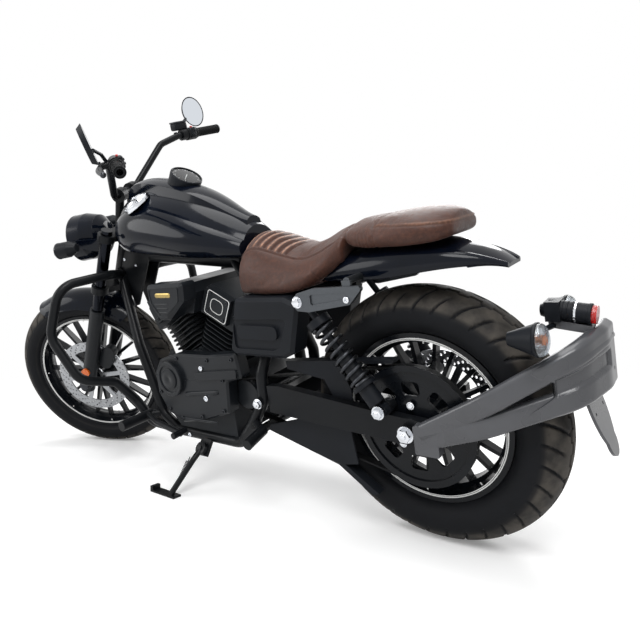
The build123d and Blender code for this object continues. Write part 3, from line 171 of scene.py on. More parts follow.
def bare_metal(name, dark, light, roughness, grain_mm, stretch=(1, 1, 1)):
    """Metal with a drawn, ground or blasted grain."""
    material, tree, look = finish(name, {"Metallic": 1.0})
    fine = grain(tree, grain_mm, 2.0, 0.6, stretch)
    two_tone(tree, look, fine, dark, light, roughness - 0.08, roughness + 0.1)
    relief(tree, look, fine, 0.03, 0.4, 0.8)
    return material


# Bead-blasted cast alloy of the fender struts: grey metal with a soft wide highlight.
cast_alloy = bare_metal("bead_blasted_cast_alloy", "#3d4043", "#63666a", 0.38, 1.4)
# Ground stainless steel of the brake discs: pale grey with fine tool marks.
ground_steel = bare_metal("ground_stainless_steel", "#8a8c8f", "#b4b6b9", 0.30, 0.8)
# Chrome-plated steel: mirror-bright with faint waviness.
plated = bare_metal("chrome_plated_steel", "#c9ccd1", "#e6e8ec", 0.09, 60)
# Black-oxide steel of fasteners and springs: dark metal with a soft grey shine.
oxide = bare_metal("black_oxide_steel", "#2a2b2d", "#4a4c50", 0.36, 2.0)
# Vacuum-metallised bowl of a lamp: a bright silver that fills its lens with the light around it.
reflector = bare_metal("metallised_reflector_bowl", "#b9bdc2", "#e0e3e6", 0.16, 8)
# Hard-chromed fork tube, smoke grey: a sharp streak of light along dark metal.
hard_chrome = bare_metal("black_hard_chromed_tube", "#15161a", "#24262b", 0.16, 60)
# Brushed brass of the name bars, left blank: a pale yellow with its grain across the bar.
brass = bare_metal("brushed_pale_brass", "#8d7a4a", "#c2ab6d", 0.32, 1.0, (0.05, 1, 1))


def mix_dust_and_highlight(tree, base, dust_and_highlight, pattern):
    """Blends a colour to a second one where the mesh's mark says so, in patches: road dust on the tyres, a
    painted highlight on the rider seat, a paler welt on the pillion.
    """
    dust_and_highlight_level = add(tree, "Attribute", "Fac", {}, attribute_name="dust_and_highlight")
    spots = {"Value": pattern, "From Min": 0.35, "From Max": 0.65, "To Min": 0.25, "To Max": 1.0}
    patchy = add(tree, "Math", "Value", {0: dust_and_highlight_level, 1: add(tree, "MapRange", "Result", spots)},
                 operation="MULTIPLY")
    return add(tree, "Mix", "Result", {"Factor": patchy, "A": base, "B": linear(dust_and_highlight)}, data_type="RGBA")


def rubber(name, dark, light, roughness, grain_mm, depth_mm, dusty=""):
    """Vulcanised rubber: two greys, a pored surface and, where it runs on the road, dust."""
    material, tree, look = finish(name, {"Specular IOR Level": 0.1})
    wide = grain(tree, 45, 4.0)
    colour = two_tone(tree, look, wide, dark, light, roughness - 0.1, roughness + 0.08)
    if dusty:
        tree.links.new(mix_dust_and_highlight(tree, colour, dusty, wide), look["Base Color"])
    relief(tree, look, grain(tree, grain_mm, 3.0), depth_mm, 0.6)
    return material


# Vulcanised tyre tread and sidewall: carbon black, greyer where road dust has settled.
tyre_rubber = rubber("vulcanised_tyre_rubber", "#0d0e10", "#1b1c1f", 0.62, 1.6, 0.12, "#4c4843")
# Moulded grips and the belt: softer rubber with a low sheen.
soft_rubber = rubber("moulded_soft_rubber", "#0c0c0d", "#161718", 0.52, 1.2, 0.05)

PEBBLE_MM = 50 / 21                 # 21 pebbles of the hide to 50 mm
FOLD_MM, BLOT_MM = 9, 60            # across its wrinkles and its darker patches


def leather(name, deep, mid, pale, crest_highlight):
    """Waxed hide: pebbled grain, fine wrinkles, lighter scuffed patches and a pale painted highlight where
    the mesh marks one.
    """
    wax = {"Specular IOR Level": 0.25, "Sheen Weight": 0.06, "Coat Weight": 0.06, "Coat Roughness": 0.35}
    material, tree, look = finish(name, wax)
    where = add(tree, "TexCoord", "Object", {})
    pebbles = {"Vector": where, "Scale": 1000 / PEBBLE_MM}
    cells = add(tree, "TexVoronoi", "Distance", pebbles, feature="DISTANCE_TO_EDGE")
    edge = add(tree, "MapRange", "Result", {"Value": cells, "From Max": 0.25})
    folds = grain(tree, FOLD_MM, 6.0, 0.65)
    blots = {"Factor": grain(tree, BLOT_MM, 4.0, 0.6), "A": linear(deep), "B": linear(mid)}
    base = add(tree, "Mix", "Result", blots, data_type="RGBA")
    high = add(tree, "MapRange", "Result", {"Value": folds, "From Min": 0.45, "From Max": 0.75,
                                            "To Max": 0.55})
    rubbed_hide = add(tree, "Mix", "Result", {"Factor": high, "A": base, "B": linear(pale)}, data_type="RGBA")
    valley = add(tree, "MapRange", "Result", {"Value": edge, "To Min": 0.55, "To Max": 0.0})
    creased = add(tree, "Mix", "Result", {"Factor": valley, "A": rubbed_hide, "B": linear(deep)},
                  data_type="RGBA")
    # Painted highlight: the pale crest colour where the mesh's mark says, broken into patches by the
    # wrinkles.
    tree.links.new(mix_dust_and_highlight(tree, creased, crest_highlight, folds), look["Base Color"])
    scuffs = {"Value": folds, "From Min": 0.3, "From Max": 0.7, "To Min": 0.38, "To Max": 0.6}
    tree.links.new(add(tree, "MapRange", "Result", scuffs), look["Roughness"])
    lower = add(tree, "Bump", "Normal", {"Height": folds, "Strength": 0.5, "Distance": 0.0012})
    upper = {"Height": edge, "Normal": lower, "Strength": 0.45, "Distance": 0.0003}
    tree.links.new(add(tree, "Bump", "Normal", upper), look["Normal"])
    return material


# Waxed saddle leather: reddish brown, with a pale painted highlight on its ridges and darker down in its
# seams.
saddle_hide = leather("waxed_saddle_leather", "#2c1811", "#4e2c1f", "#6c4433", "#ad826a")


def glassy(name, colour, roughness, ribs_mm=0.0, transmission=1.0):
    """Clear or tinted moulded lens, ribbed on its back."""
    clear = {"Base Color": linear(colour), "Roughness": roughness, "IOR": 1.58,
             "Transmission Weight": transmission}
    material, tree, look = finish(name, clear)
    if ribs_mm:
        where = add(tree, "TexCoord", "Object", {})
        cells = {"Vector": where, "Scale": 1000 / ribs_mm}
        relief(tree, look, add(tree, "TexVoronoi", "Distance", cells, feature="F1"), 1.2, 0.6)
    return material


# Clear moulded polycarbonate lens: colourless, with optics that scatter what is behind it.
clear_lens = glassy("clear_moulded_polycarbonate", "#e9eef2", 0.05, 4.0)
# Red moulded acrylic of the tail lamp: a deep, half-clear red.
red_lens = glassy("red_moulded_acrylic", "#c0140c", 0.12, 3.0, 0.35)
# Amber prism acrylic of the fork reflectors: small prisms behind a smooth face keep it bright.
amber_lens = glassy("amber_prism_acrylic", "#e0680c", 0.15, 3.0, 0.2)
# Amber lacquered glass of the bulbs: an orange glow in the middle of each bowl.
amber_bulb = glassy("amber_lacquered_bulb", "#d9761a", 0.1, 0.0, 0.4)
# Mineral crystal over the dial, polished: clear, with only a reflection to show it is there.
crystal = glassy("clear_mineral_crystal", "#f4f6f8", 0.01)
# Silvered mirror glass: a sharp, slightly cool picture of the room.
silvered = finish("silvered_mirror_glass", {"Metallic": 1.0, "Roughness": 0.03,
                                            "Base Color": linear("#d7dce2")})[0]

COATS = {
    powder_coat: "main_frame swingarm engine_guards rider_pegs passenger_pegs side_stand fork_yokes "
                 "handlebar hand_controls",
    arm_enamel: "plate_arm mudflap",
    lacquer: "fuel_tank tank_console tail_fender front_mudguard headlight",
    wrinkle: "crankcase cylinder_barrels cylinder_heads",
    cover_coat: "engine_covers intake drive_pulley fork_sliders rear_caliper front_caliper",
    moulded: "side_covers dampers belt_guards speedometer mirrors front_signals rear_signals tail_lamp",
    wheel_coat: "front_rim rear_rim rear_pulley",
    cast_alloy: "fender_struts",
    plated: "fuel_cap",
    hard_chrome: "fork_tubes",
    ground_steel: "front_disc rear_disc",
    oxide: "front_axle rear_axle damper_springs",
    heat_paint: "exhaust",
    saddle_hide: "rider_seat pillion_seat",
    tyre_rubber: "front_tyre rear_tyre",
    soft_rubber: "grips drive_belt",
    clear_lens: "headlight_lens front_signal_lenses rear_signal_lenses",
    red_lens: "tail_lamp_lens",
    amber_lens: "fork_reflectors",
    silvered: "mirror_glasses",
}
for coat, coated in COATS.items():
    for name in coated.split():
        nodes[name].data.materials.clear()
        nodes[name].data.materials.append(coat)


# ---------------------------------------------------------------- making a piece
def joined(*parts):
    """Several (points, faces) as one."""
    points, faces = [], []
    for some_points, some_faces in parts:
        base = len(points)
        points += some_points
        faces += [tuple(i + base for i in f) for f in some_faces]
    return points, faces


def piece(name, parts, body, coat, replaced=(), sharp=35):
    """Parts drawn on the upright machine in millimetres, stood in the parked pose and carried by a body."""
    points, faces = joined(*parts)
    mesh = bpy.data.meshes.new(name)
    mesh.from_pydata([tuple(p) for p in points], [], faces)
    mesh.transform(PLACE[body])
    mesh.materials.append(coat)
    obj = bpy.data.objects.new(name, mesh)
    bpy.context.scene.collection.objects.link(obj)
    outward = bmesh.new()
    outward.from_mesh(mesh)
    bmesh.ops.recalc_face_normals(outward, faces=outward.faces)
    outward.to_mesh(mesh)
    outward.free()
    mesh.shade_smooth()
    mesh.set_sharp_from_angle(angle=radians(sharp))
    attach(obj, body)
    if replaced:
        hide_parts(*replaced)
    return obj


def keep_dust_and_highlight(mesh, values):
    """Keeps each point's mark, from 0 to 1, for the materials that show it: road dust on the tyres, a painted
    highlight on the rider seat, a paler welt on the pillion.
    """
    mesh.attributes.new("dust_and_highlight", "FLOAT", "POINT").data.foreach_set("value", values)


def placed(part, matrix):
    return [matrix @ Vector(p) for p in part[0]], part[1]


def toward(origin, axis):
    """Frame at a point with its Z along an axis."""
    to_axis = Vector(axis).normalized().to_track_quat("Z", "Y")
    return Matrix.Translation(Vector(origin)) @ to_axis.to_matrix().to_4x4()


def grid_faces(rows, columns, wrap_rows=False, wrap_columns=True):
    faces = []
    for i in range(rows if wrap_rows else rows - 1):
        for j in range(columns if wrap_columns else columns - 1):
            a, b = i * columns + j, i * columns + (j + 1) % columns
            c, d = ((i + 1) % rows) * columns + (j + 1) % columns, ((i + 1) % rows) * columns + j
            faces.append((a, b, c, d))
    return faces


def end_faces(rows, columns):
    """The two caps of a bar given as rows of points round its section."""
    return [tuple(range(columns)), tuple(range((rows - 1) * columns, rows * columns))]


def lathe(profile, steps, closed=False):
    """Profile of (radius, height) turned about Z. An open profile that ends on the axis is a solid."""
    points = [(r * cos(2 * pi * j / steps), r * sin(2 * pi * j / steps), h)
              for r, h in profile for j in range(steps)]
    return points, grid_faces(len(profile), steps, wrap_rows=closed)


def turned(place, axis, profile, steps, closed=False):
    """A lathed part stood at a place, its height along an axis."""
    return placed(lathe(profile, steps, closed), toward(place, axis))


def around(count, radius, first_degrees=0.0):
    """Points evenly round a circle."""
    angles = [radians(360 / count * i + first_degrees) for i in range(count)]
    return [(radius * cos(a), radius * sin(a)) for a in angles]


def tube(path, radius, sides):
    """Round wire along points, its section carried without twist."""
    path = [Vector(p) for p in path]
    points = []
    side = None
    for i, spot in enumerate(path):
        run = (path[min(i + 1, len(path) - 1)] - path[max(i - 1, 0)]).normalized()
        side = run.orthogonal().normalized() if side is None else (side - run * side.dot(run)).normalized()
        other = run.cross(side)
        turns = [2 * pi * j / sides for j in range(sides)]
        points += [spot + (side * cos(a) + other * sin(a)) * radius for a in turns]
    return points, grid_faces(len(path), sides) + end_faces(len(path), sides)


def arc(a, b, c, count):
    """Points on the circle through a, b and c, from a to c."""
    ax, ay, bx, by, cx, cy = *a, *b, *c
    d = 2 * (ax * (by - cy) + bx * (cy - ay) + cx * (ay - by))
    aa, bb, cc = ax * ax + ay * ay, bx * bx + by * by, cx * cx + cy * cy
    ux = (aa * (by - cy) + bb * (cy - ay) + cc * (ay - by)) / d
    uy = (aa * (cx - bx) + bb * (ax - cx) + cc * (bx - ax)) / d
    r = sqrt((ax - ux) ** 2 + (ay - uy) ** 2)
    start, middle, end = (math.atan2(p[1] - uy, p[0] - ux) for p in (a, b, c))
    turn_all = (end - start) % (2 * pi)
    if (middle - start) % (2 * pi) > turn_all:
        turn_all -= 2 * pi
    angles = [start + turn_all * i / count for i in range(count + 1)]
    return [(ux + r * cos(angle), uy + r * sin(angle)) for angle in angles]


def rounded(outline, radius, steps=5):
    """Outline with its corners rounded, as (x, z) points."""
    out = []
    count = len(outline)
    for i in range(count):
        p, a, b = Vector(outline[i]), Vector(outline[i - 1]), Vector(outline[(i + 1) % count])
        to_a, to_b = (a - p).normalized(), (b - p).normalized()
        half = to_a.angle(to_b) / 2
        back = min(radius / math.tan(half), 0.45 * (a - p).length, 0.45 * (b - p).length)
        start, end = p + to_a * back, p + to_b * back
        for k in range(steps + 1):
            t = k / steps
            out.append(tuple(start * (1 - t) ** 2 + p * 2 * t * (1 - t) + end * t ** 2))
    return out


def smooth(low, high, value):
    """0 below low, 1 above high, eased between."""
    t = min(1.0, max(0.0, (value - low) / (high - low)))
    return t * t * (3 - 2 * t)


def rib(distance, width):
    """1 on a line, falling straight to 0 at the given half width."""
    return max(0.0, 1 - abs(distance) / width)


# ---------------------------------------------------------------- tyres
TREAD_DEEP = 5.2
TREAD_STEPS = 36         # points round one block of the tread


def tread_cut(share, h, half):
    """How deep the tread is cut, 0 to 1, at a share of a block round the tyre and h mm across it."""
    side = 1 if h > 0 else -1
    reach = abs(h) / half
    phase = (share + 0.25 * side + 0.62 * reach) % 1.0
    zigzag = 0.20 * half + 0.045 * half * (1 if (share * 2) % 1.0 < 0.5 else -1)
    long_cut = 1 - smooth(1.6, 3.2, abs(abs(h) - zigzag))
    block_cut = 1 - smooth(0.024, 0.05, abs(phase - 0.5))
    block_cut = block_cut * smooth(zigzag - 2, zigzag + 2, abs(h)) * (1 - smooth(0.93, 0.99, reach))
    sipe = (1 - smooth(0.022, 0.046, abs((phase + 0.5) % 1.0 - 0.5))) * smooth(0.5, 0.58, reach) * 0.9
    return max(long_cut, block_cut, sipe)


def tyre(name, body, hub, radius, half, bead, rim_half, blocks, node):
    """Carcass with zigzag centre grooves, angled block grooves out to the shoulders and ribbed sidewalls."""
    flange, edge, shoulder = bead + 10.5, rim_half - 5.3, radius - half * 0.4
    belly = (shoulder + flange) / 2
    wall = [(bead + 0.3, edge)] + arc((flange + 1, edge), (belly, half), (shoulder, half * 0.84), 12)
    crown = arc((shoulder, half * 0.84), (radius, 0), (shoulder, -half * 0.84), 44)[1:-1]
    profile = wall + crown + [(r, -h) for r, h in reversed(wall)]
    steps = blocks * TREAD_STEPS
    points, dust = [], []
    for r, h in profile:
        for j in range(steps):
            out = 0.0
            if r > shoulder - 14:
                out = -TREAD_DEEP * tread_cut(j / steps * blocks, h, half)
            elif r > flange + 6:
                out = 0.8 * rib(r - (flange + 12), 2.5) + 0.5 * rib(r - shoulder + 22, 1.8)
            off = Vector((r - belly * 0.92, h * 0.9)).normalized() * out
            a = 2 * pi * j / steps
            points.append((hub[0] + (r + off.x) * cos(a), h + off.y, hub[1] + (r + off.x) * sin(a)))
            dust.append(max(0.0, smooth(shoulder - 16, shoulder - 4, r) + out / TREAD_DEEP))
    rubber_ring = piece(name, [(points, grid_faces(len(profile), steps))], body, tyre_rubber, [node],
                        sharp=40)
    keep_dust_and_highlight(rubber_ring.data, dust)


tyre("treaded_rear_tyre", "rear_wheel", REAR_HUB, AXLE_H, 77.0, REAR_BEAD, REAR_RIM_HALF, 18, "rear_tyre")
tyre("treaded_front_tyre", "front_wheel", FRONT_HUB, FRONT_R, 56.0, FRONT_BEAD, FRONT_RIM_HALF, 20,
     "front_tyre")


# ---------------------------------------------------------------- rims: a double pinstripe on each lip
def pinstripes(name, body, hub, bead, half):
    stripes = []
    for side in (-1, 1):
        for inner, outer in ((bead - 7.5, bead - 5.4), (bead - 4.2, bead - 1.6)):
            section = [(inner, half), (inner, half + 0.5), (outer, half + 0.5), (outer, half)]
            flat, faces = lathe([(r, h * side) for r, h in section], 120, closed=True)
            stripes.append(([(hub[0] + x, y, hub[1] + z) for x, z, y in flat], faces))
    piece(name, stripes, body, pinstripe)


pinstripes("rear_rim_pinstripes", "rear_wheel", REAR_HUB, REAR_BEAD, REAR_RIM_HALF)
pinstripes("front_rim_pinstripes", "front_wheel", FRONT_HUB, FRONT_BEAD, FRONT_RIM_HALF)

# ---------------------------------------------------------------- damper springs, wound
DAMPER_FOOT, DAMPER_TOP, DAMPER_Y = Vector((52, 0, 377)), Vector((237, 0, 642)), 154.0
COIL_R, COIL_WIRE, COIL_TURNS, COIL_STEPS = 25.5, 4.4, 9.0, 324
damper_run = (DAMPER_TOP - DAMPER_FOOT).normalized()
coil_low = DAMPER_FOOT + damper_run * 77
coil_high = DAMPER_FOOT + damper_run * ((DAMPER_TOP - DAMPER_FOOT).length - 83)
coils = []
for side in (-1, 1):
    stand = toward(coil_low + Vector((0, DAMPER_Y * side, 0)), damper_run)
    coil = []
    for i in range(COIL_STEPS + 1):
        share = i / COIL_STEPS
        height = (coil_high - coil_low).length * min(1.0, max(0.0, (share - 0.06) / 0.88))
        a = 2 * pi * COIL_TURNS * share
        coil.append(stand @ Vector((COIL_R * cos(a), COIL_R * sin(a) * side, height)))
    coils.append(tube(coil, COIL_WIRE, 10))
piece("wound_damper_springs", coils, "chassis", oxide, ["damper_springs"])

# ---------------------------------------------------------------- front mudguard: short, with rolled edges
# bow's centre from the axle, its radius, and the sheet's thickness
MUD_RING, MUD_BOW, MUD_SHEET = 281.0, 71.0, 3.0
MUD_FRONT, MUD_REAR = 66.0, 136.0                  # ends round the axle, in degrees up from straight ahead
MUD_ROWS, MUD_HALF_ROW = 60, 40
points = []
for i in range(MUD_ROWS + 1):
    share = i / MUD_ROWS
    outer, inner = [], []
    for j in range(-MUD_HALF_ROW, MUD_HALF_ROW + 1):
        over = j / MUD_HALF_ROW
        tip = MUD_FRONT + 6 * over ** 4
        a = radians(tip + (MUD_REAR - 3 * over ** 4 - tip) * share)
        lip = 2.2 * smooth(0.93, 1.0, max(abs(over), abs(2 * share - 1)))
        bow = radians(80 * over)
        for skin, r in ((outer, MUD_BOW + lip), (inner, MUD_BOW + lip - MUD_SHEET)):
            reach = MUD_RING + r * cos(bow)
            skin.append((WHEELBASE + reach * cos(a), r * sin(bow), FRONT_R + reach * sin(a)))
    points += outer + inner[::-1]
width = 2 * (2 * MUD_HALF_ROW + 1)
sheet = (points, grid_faces(MUD_ROWS + 1, width) + end_faces(MUD_ROWS + 1, width))
tabs = [tube([on_fork(300, 66.5 * side), on_fork(300, 90 * side)], 9, 20) for side in (-1, 1)]
piece("short_front_mudguard", [sheet] + tabs, "steering", lacquer, ["front_mudguard"])

# ---------------------------------------------------------------- plate arm: two limbs and their wrap
ARM_ROOT_X = -40.0                                  # where both limbs leave the axle's bracket
ARM_MID_Y, ARM_BACK, ARM_WRAP_Y = 151.0, 385.0, -62.0
# stations across the machine where it bends behind the wheel
ARM_TURN = (78.0, -8.0)
ARM_BENDS = [150, 90, 60]                           # radii of its bends
ARM_HALF, ARM_HALF_HIGH = 13.0, 23.0                # half of each limb's thickness and height
UPPER_LIMB, LOWER_LIMB = (330, 29.5), (316, 19)     # height at the root, and rise to the rear in degrees


def filleted(corners, radii, steps):
    """Plan path through corners with its bends as arcs."""
    path = [Vector(corners[0])]
    for before, corner, after, radius in zip(corners, corners[1:], corners[2:], radii):
        corner = Vector(corner)
        back, on = (Vector(before) - corner).normalized(), (Vector(after) - corner).normalized()
        half = back.angle(on) / 2
        start, end = corner + back * radius / math.tan(half), corner + on * radius / math.tan(half)
        middle = corner + (back + on).normalized() * radius / sin(half)
        bend = (start - middle).angle(end - middle)
        for k in range(steps + 1):
            share = k / steps
            path.append(middle + (start - middle) * sin((1 - share) * bend) / sin(bend)
                        + (end - middle) * sin(share * bend) / sin(bend))
    return path + [Vector(corners[-1])]


arm_corners = [(ARM_ROOT_X, ARM_MID_Y), (-190, ARM_MID_Y), (-357, ARM_TURN[0]), (-ARM_BACK, ARM_TURN[1]),
               (-ARM_BACK, ARM_WRAP_Y)]
arm_plan = filleted(arm_corners, ARM_BENDS, 24)
runs = [0.0]
for a, b in zip(arm_plan, arm_plan[1:]):
    runs.append(runs[-1] + (b - a).length)
WRAP_FROM, WINDOW_END, WRAP_TO = runs[-1] - 238, runs[-1] - 200, runs[-1] + 1


def on_arm(run):
    """Plan point of the arm's middle line and the way outward there."""
    i = max(k for k in range(len(runs) - 1) if runs[k] <= run)
    way = (arm_plan[i + 1] - arm_plan[i]).normalized()
    return arm_plan[i] + way * (run - runs[i]), Vector((way.y, -way.x))


def limb_height(x, limb_line):
    start, slope = limb_line
    return start + math.tan(radians(slope)) * (ARM_ROOT_X - x)


def limb(start, slope):
    """One limb of the arm: a rounded bar in a plane that rises to the rear."""
    rise = radians(slope)
    reach = (ARM_BACK + ARM_ROOT_X) / cos(rise)
    plan = [(0, ARM_MID_Y), (reach - 215, ARM_MID_Y), (reach - 30, ARM_TURN[0]), (reach, ARM_TURN[1]),
            (reach, ARM_WRAP_Y)]
    up_limb = Vector((sin(rise), 0, cos(rise)))
    corners = [(x * ARM_HALF, z * ARM_HALF_HIGH) for x, z in ((-1, -1), (1, -1), (1, 1), (-1, 1))]
    section = rounded(corners, 11, 4)
    spots = [Vector((ARM_ROOT_X - p.x * cos(rise), p.y, start + p.x * sin(rise)))
             for p in filleted(plan, ARM_BENDS, 14)]
    points = []
    for k, spot in enumerate(spots):
        way = (spots[min(k + 1, len(spots) - 1)] - spots[max(k - 1, 0)]).normalized()
        side_way = up_limb.cross(way)
        points += [spot + side_way * a + up_limb * b for a, b in section]
    return points, grid_faces(len(spots), len(section)) + end_faces(len(spots), len(section))


def slab(outline, y_low, y_high):
    """Flat plate of an (x, z) outline between two stations across the machine, its corners rounded."""
    line = rounded(outline, 4, 3)
    count = len(line)
    points = [(x, y, z) for y in (y_low, y_high) for x, z in line]
    return points, grid_faces(2, count) + end_faces(2, count)


piece("swept_plate_arm", [
    limb(*UPPER_LIMB),
    limb(*LOWER_LIMB),
    slab([(-84, 285), (-26, 285), (-26, 352), (-84, 352)], 138.2, 163.8),           # bracket at the axle
    # tongue under the tail lamp
    slab([(-380, 535), (-296, 548), (-296, 566), (-380, 551.5)], -14, 14),
    slab([(-385, 424), (-352, 424), (-352, 438), (-385, 438)], -22, 22),            # foot that holds the flap
], "chassis", arm_enamel, ["plate_arm"], sharp=40)

WRAP_COLUMNS, WRAP_LAYERS = 90, 40
front, behind = [], []
for i in range(WRAP_COLUMNS + 1):
    run = WRAP_FROM + (WRAP_TO - WRAP_FROM) * i / WRAP_COLUMNS
    for j in range(WRAP_LAYERS + 1):
        level = j / WRAP_LAYERS * 2 - 1
        notch = (WINDOW_END - WRAP_FROM + 16) * smooth(0.62, 0.2, abs(level))
        here = min(run + notch * (1 - i / WRAP_COLUMNS) ** 6, runs[-1] - 0.01)
        spot, outward = on_arm(here)
        low, high = limb_height(spot.x, LOWER_LIMB) - 24, limb_height(spot.x, UPPER_LIMB) + 25
        height = (low + high) / 2 + (high - low) / 2 * level
        from_end = min(here - WINDOW_END - 16, WRAP_TO - 44 - run)
        recess = smooth(0, 4, from_end) * smooth(0, 5, 19 - abs(height - (low + high) / 2))
        swell = smooth(0, 40, here - WRAP_FROM) if abs(level) > 0.3 else 1.0
        out = ARM_HALF - 1.5 + 5.5 * swell - 7 * recess - 14 * smooth(0.86, 1.05, abs(level))
        for skin, depth in ((front, out), (behind, min(out - 4, 0))):
            place = spot + outward * depth
            skin.append((place.x, place.y, height))
per_row = WRAP_LAYERS + 1
base = len(front)
faces = grid_faces(WRAP_COLUMNS + 1, per_row, wrap_columns=False)
faces += [tuple(k + base for k in reversed(f)) for f in faces]
edge = list(range(per_row)) + [i * per_row + WRAP_LAYERS for i in range(1, WRAP_COLUMNS + 1)]
edge += [WRAP_COLUMNS * per_row + j for j in range(WRAP_LAYERS - 1, -1, -1)]
edge += [i * per_row for i in range(WRAP_COLUMNS - 1, 0, -1)]
faces += [(a, b, b + base, a + base) for a, b in zip(edge, edge[1:] + edge[:1])]
piece("plate_arm_pressed_wrap", [(front + behind, faces)], "chassis", arm_enamel, sharp=50)

# three rivets near the end of the wrap: back from its end, and up from its middle
rivets = []
for back, rise in ((40, 34), (16, 40), (22, -30)):
    spot, outward = on_arm(WRAP_TO - back)
    middle = (limb_height(spot.x, LOWER_LIMB) + limb_height(spot.x, UPPER_LIMB)) / 2
    face = spot + outward * (ARM_HALF + 3.9)
    line = [(0.01, 0.5), (3.2, 0.5), (3.8, 0.0), (3.8, -1.5)]
    rivets.append(turned((face.x, face.y, middle + rise), (outward.x, outward.y, 0), line, 16))
piece("plate_arm_rivets", rivets, "chassis", oxide)


# ---------------------------------------------------------------- saddles
def applied(obj, kind, **settings):
    """Adds one modifier with its settings and applies it."""
    modifier = obj.modifiers.new(kind.lower(), kind)
    for key, value in settings.items():
        setattr(modifier, key, value)
    bpy.context.view_layer.objects.active = obj
    obj.select_set(True)
    bpy.ops.object.modifier_apply(modifier=modifier.name)
    obj.select_set(False)


SWELL_FRAMES = 20


def puffed(obj, cap, hold_below):
    """Lets the pad swell under its own pressure, held along its base, and caps how far a point moves."""
    before = [v.co.copy() for v in obj.data.vertices]
    upright = PARKED.inverted()
    held = obj.vertex_groups.new(name="base")
    held.add([i for i, p in enumerate(before) if (upright @ p).z < hold_below((upright @ p).x)], 1.0,
             "REPLACE")
    cloth = obj.modifiers.new("swell", "CLOTH")
    cloth.settings.use_pressure = True
    cloth.settings.uniform_pressure_force = 4.0
    cloth.settings.vertex_group_mass = "base"
    cloth.settings.effector_weights.gravity = 0.0
    cloth.settings.quality = 4
    cloth.point_cache.frame_start, cloth.point_cache.frame_end = 1, SWELL_FRAMES
    for f in range(1, SWELL_FRAMES + 1):
        bpy.context.scene.frame_set(f)
    bpy.context.view_layer.objects.active = obj
    bpy.ops.object.modifier_apply(modifier="swell")
    bpy.context.scene.frame_set(1)
    for v, old in zip(obj.data.vertices, before):
        move = v.co - old
        if move.length > cap / 1000:
            v.co = old + move.normalized() * cap / 1000


# share that a pad draws in before it is remeshed, so that its skin ends inside the solid's
SHRINK = 0.012
VOXEL_M = 0.006


def saddle(name, node, base_of, work, dust_and_highlight, cap):
    """A padded seat: the solid remeshed, swollen and subdivided, then sewn by the given function."""
    pad = bpy.data.objects.new(name, nodes[node].data.copy())
    bpy.context.scene.collection.objects.link(pad)
    pad.data.transform(PARKED.inverted())
    centre = sum((v.co for v in pad.data.vertices), Vector()) / len(pad.data.vertices)
    for v in pad.data.vertices:
        v.co += (centre - v.co) * SHRINK
    pad.data.transform(PARKED)
    applied(pad, "REMESH", mode="VOXEL", voxel_size=VOXEL_M)
    applied(pad, "SMOOTH", factor=0.5, iterations=6)
    puffed(pad, cap, base_of)
    applied(pad, "SUBSURF", levels=1)
    pad.data.transform(PARKED.inverted())
    normals = [v.normal.copy() for v in pad.data.vertices]
    # Marks each point: a painted highlight on the rider seat's rolls, a paler welt crest on the pillion.
    keep_dust_and_highlight(pad.data, [dust_and_highlight(v.co, normal) for v, normal in zip(pad.data.vertices, normals)])
    for v, normal in zip(pad.data.vertices, normals):
        v.co += normal * work(v.co, normal)
    pad.data.transform(PARKED)
    pad.data.materials.clear()
    pad.data.materials.append(saddle_hide)
    pad.data.shade_smooth()
    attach(pad, "chassis")
    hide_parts(node)


def swell_at(distance, width):
    """1 on a line, falling softly to nothing past the given half width."""
    return math.exp(-(distance / width) ** 2)


# Rider seat: cross channels between two stations, inside a panel whose edge is this far from the middle.
CHANNEL_FROM, CHANNEL_TO, CHANNEL_STEP, PANEL_HALF = 322.0, 472.0, 25.0, 92


def channel_at(p):
    """Distance from the nearest sewn channel of the rider seat, and how far inside its panel a point lies."""
    bend = p.x - 0.10 * abs(p.y) + 8
    phase = ((bend - CHANNEL_FROM) / CHANNEL_STEP) % 1.0
    inside = (1 - smooth(-8, 2, abs(p.y) - PANEL_HALF)) * (CHANNEL_FROM - 4 < bend < CHANNEL_TO)
    return min(phase, 1 - phase) * CHANNEL_STEP, inside


def rider_work(p, normal):
    """Cross channels on the seating face, a welt round its edge and a stitched side panel."""
    top = smooth(0.25, 0.6, normal.z)
    away, inside = channel_at(p)
    out = top * inside * (-4.5 * swell_at(away, 3.2) + 3.0 * smooth(2, 12, away))
    edge = abs(p.y) - PANEL_HALF
    behind_thighs = smooth(150, 180, p.x) * smooth(0.0, 0.3, normal.z)
    out += behind_thighs * (-2.4 * swell_at(edge - 4, 2.4) + 1.8 * swell_at(edge - 0.5, 2.0))
    out -= 2.2 * swell_at(p.x - (210 + (p.z - 700) * 0.9), 2.6) * (1 - top)
    return out + 1.2 * noise.noise(Vector(p) * 0.018)


# Painted highlight: pale on the crest of each roll between the channels, inside the panel, on the seating
# face.
def rider_painted_highlight(p, normal):
    away, inside = channel_at(p)
    return smooth(0.25, 0.6, normal.z) * inside * smooth(8.5, 11.5, away)


# Pillion seat: two cross seams and four pleats as (x, depth), and the welt's height where x is -20.
PILLION_SEAMS, PILLION_PLEATS = [(38, 3.4), (44, 2.6)], [(56, 1.8), (66, 1.8), (76, 1.6), (86, 1.2)]
PILLION_WELT, WELT_SLOPE = 800, 0.05


def above_welt(p):
    return p.z - (PILLION_WELT + WELT_SLOPE * (p.x + 20))


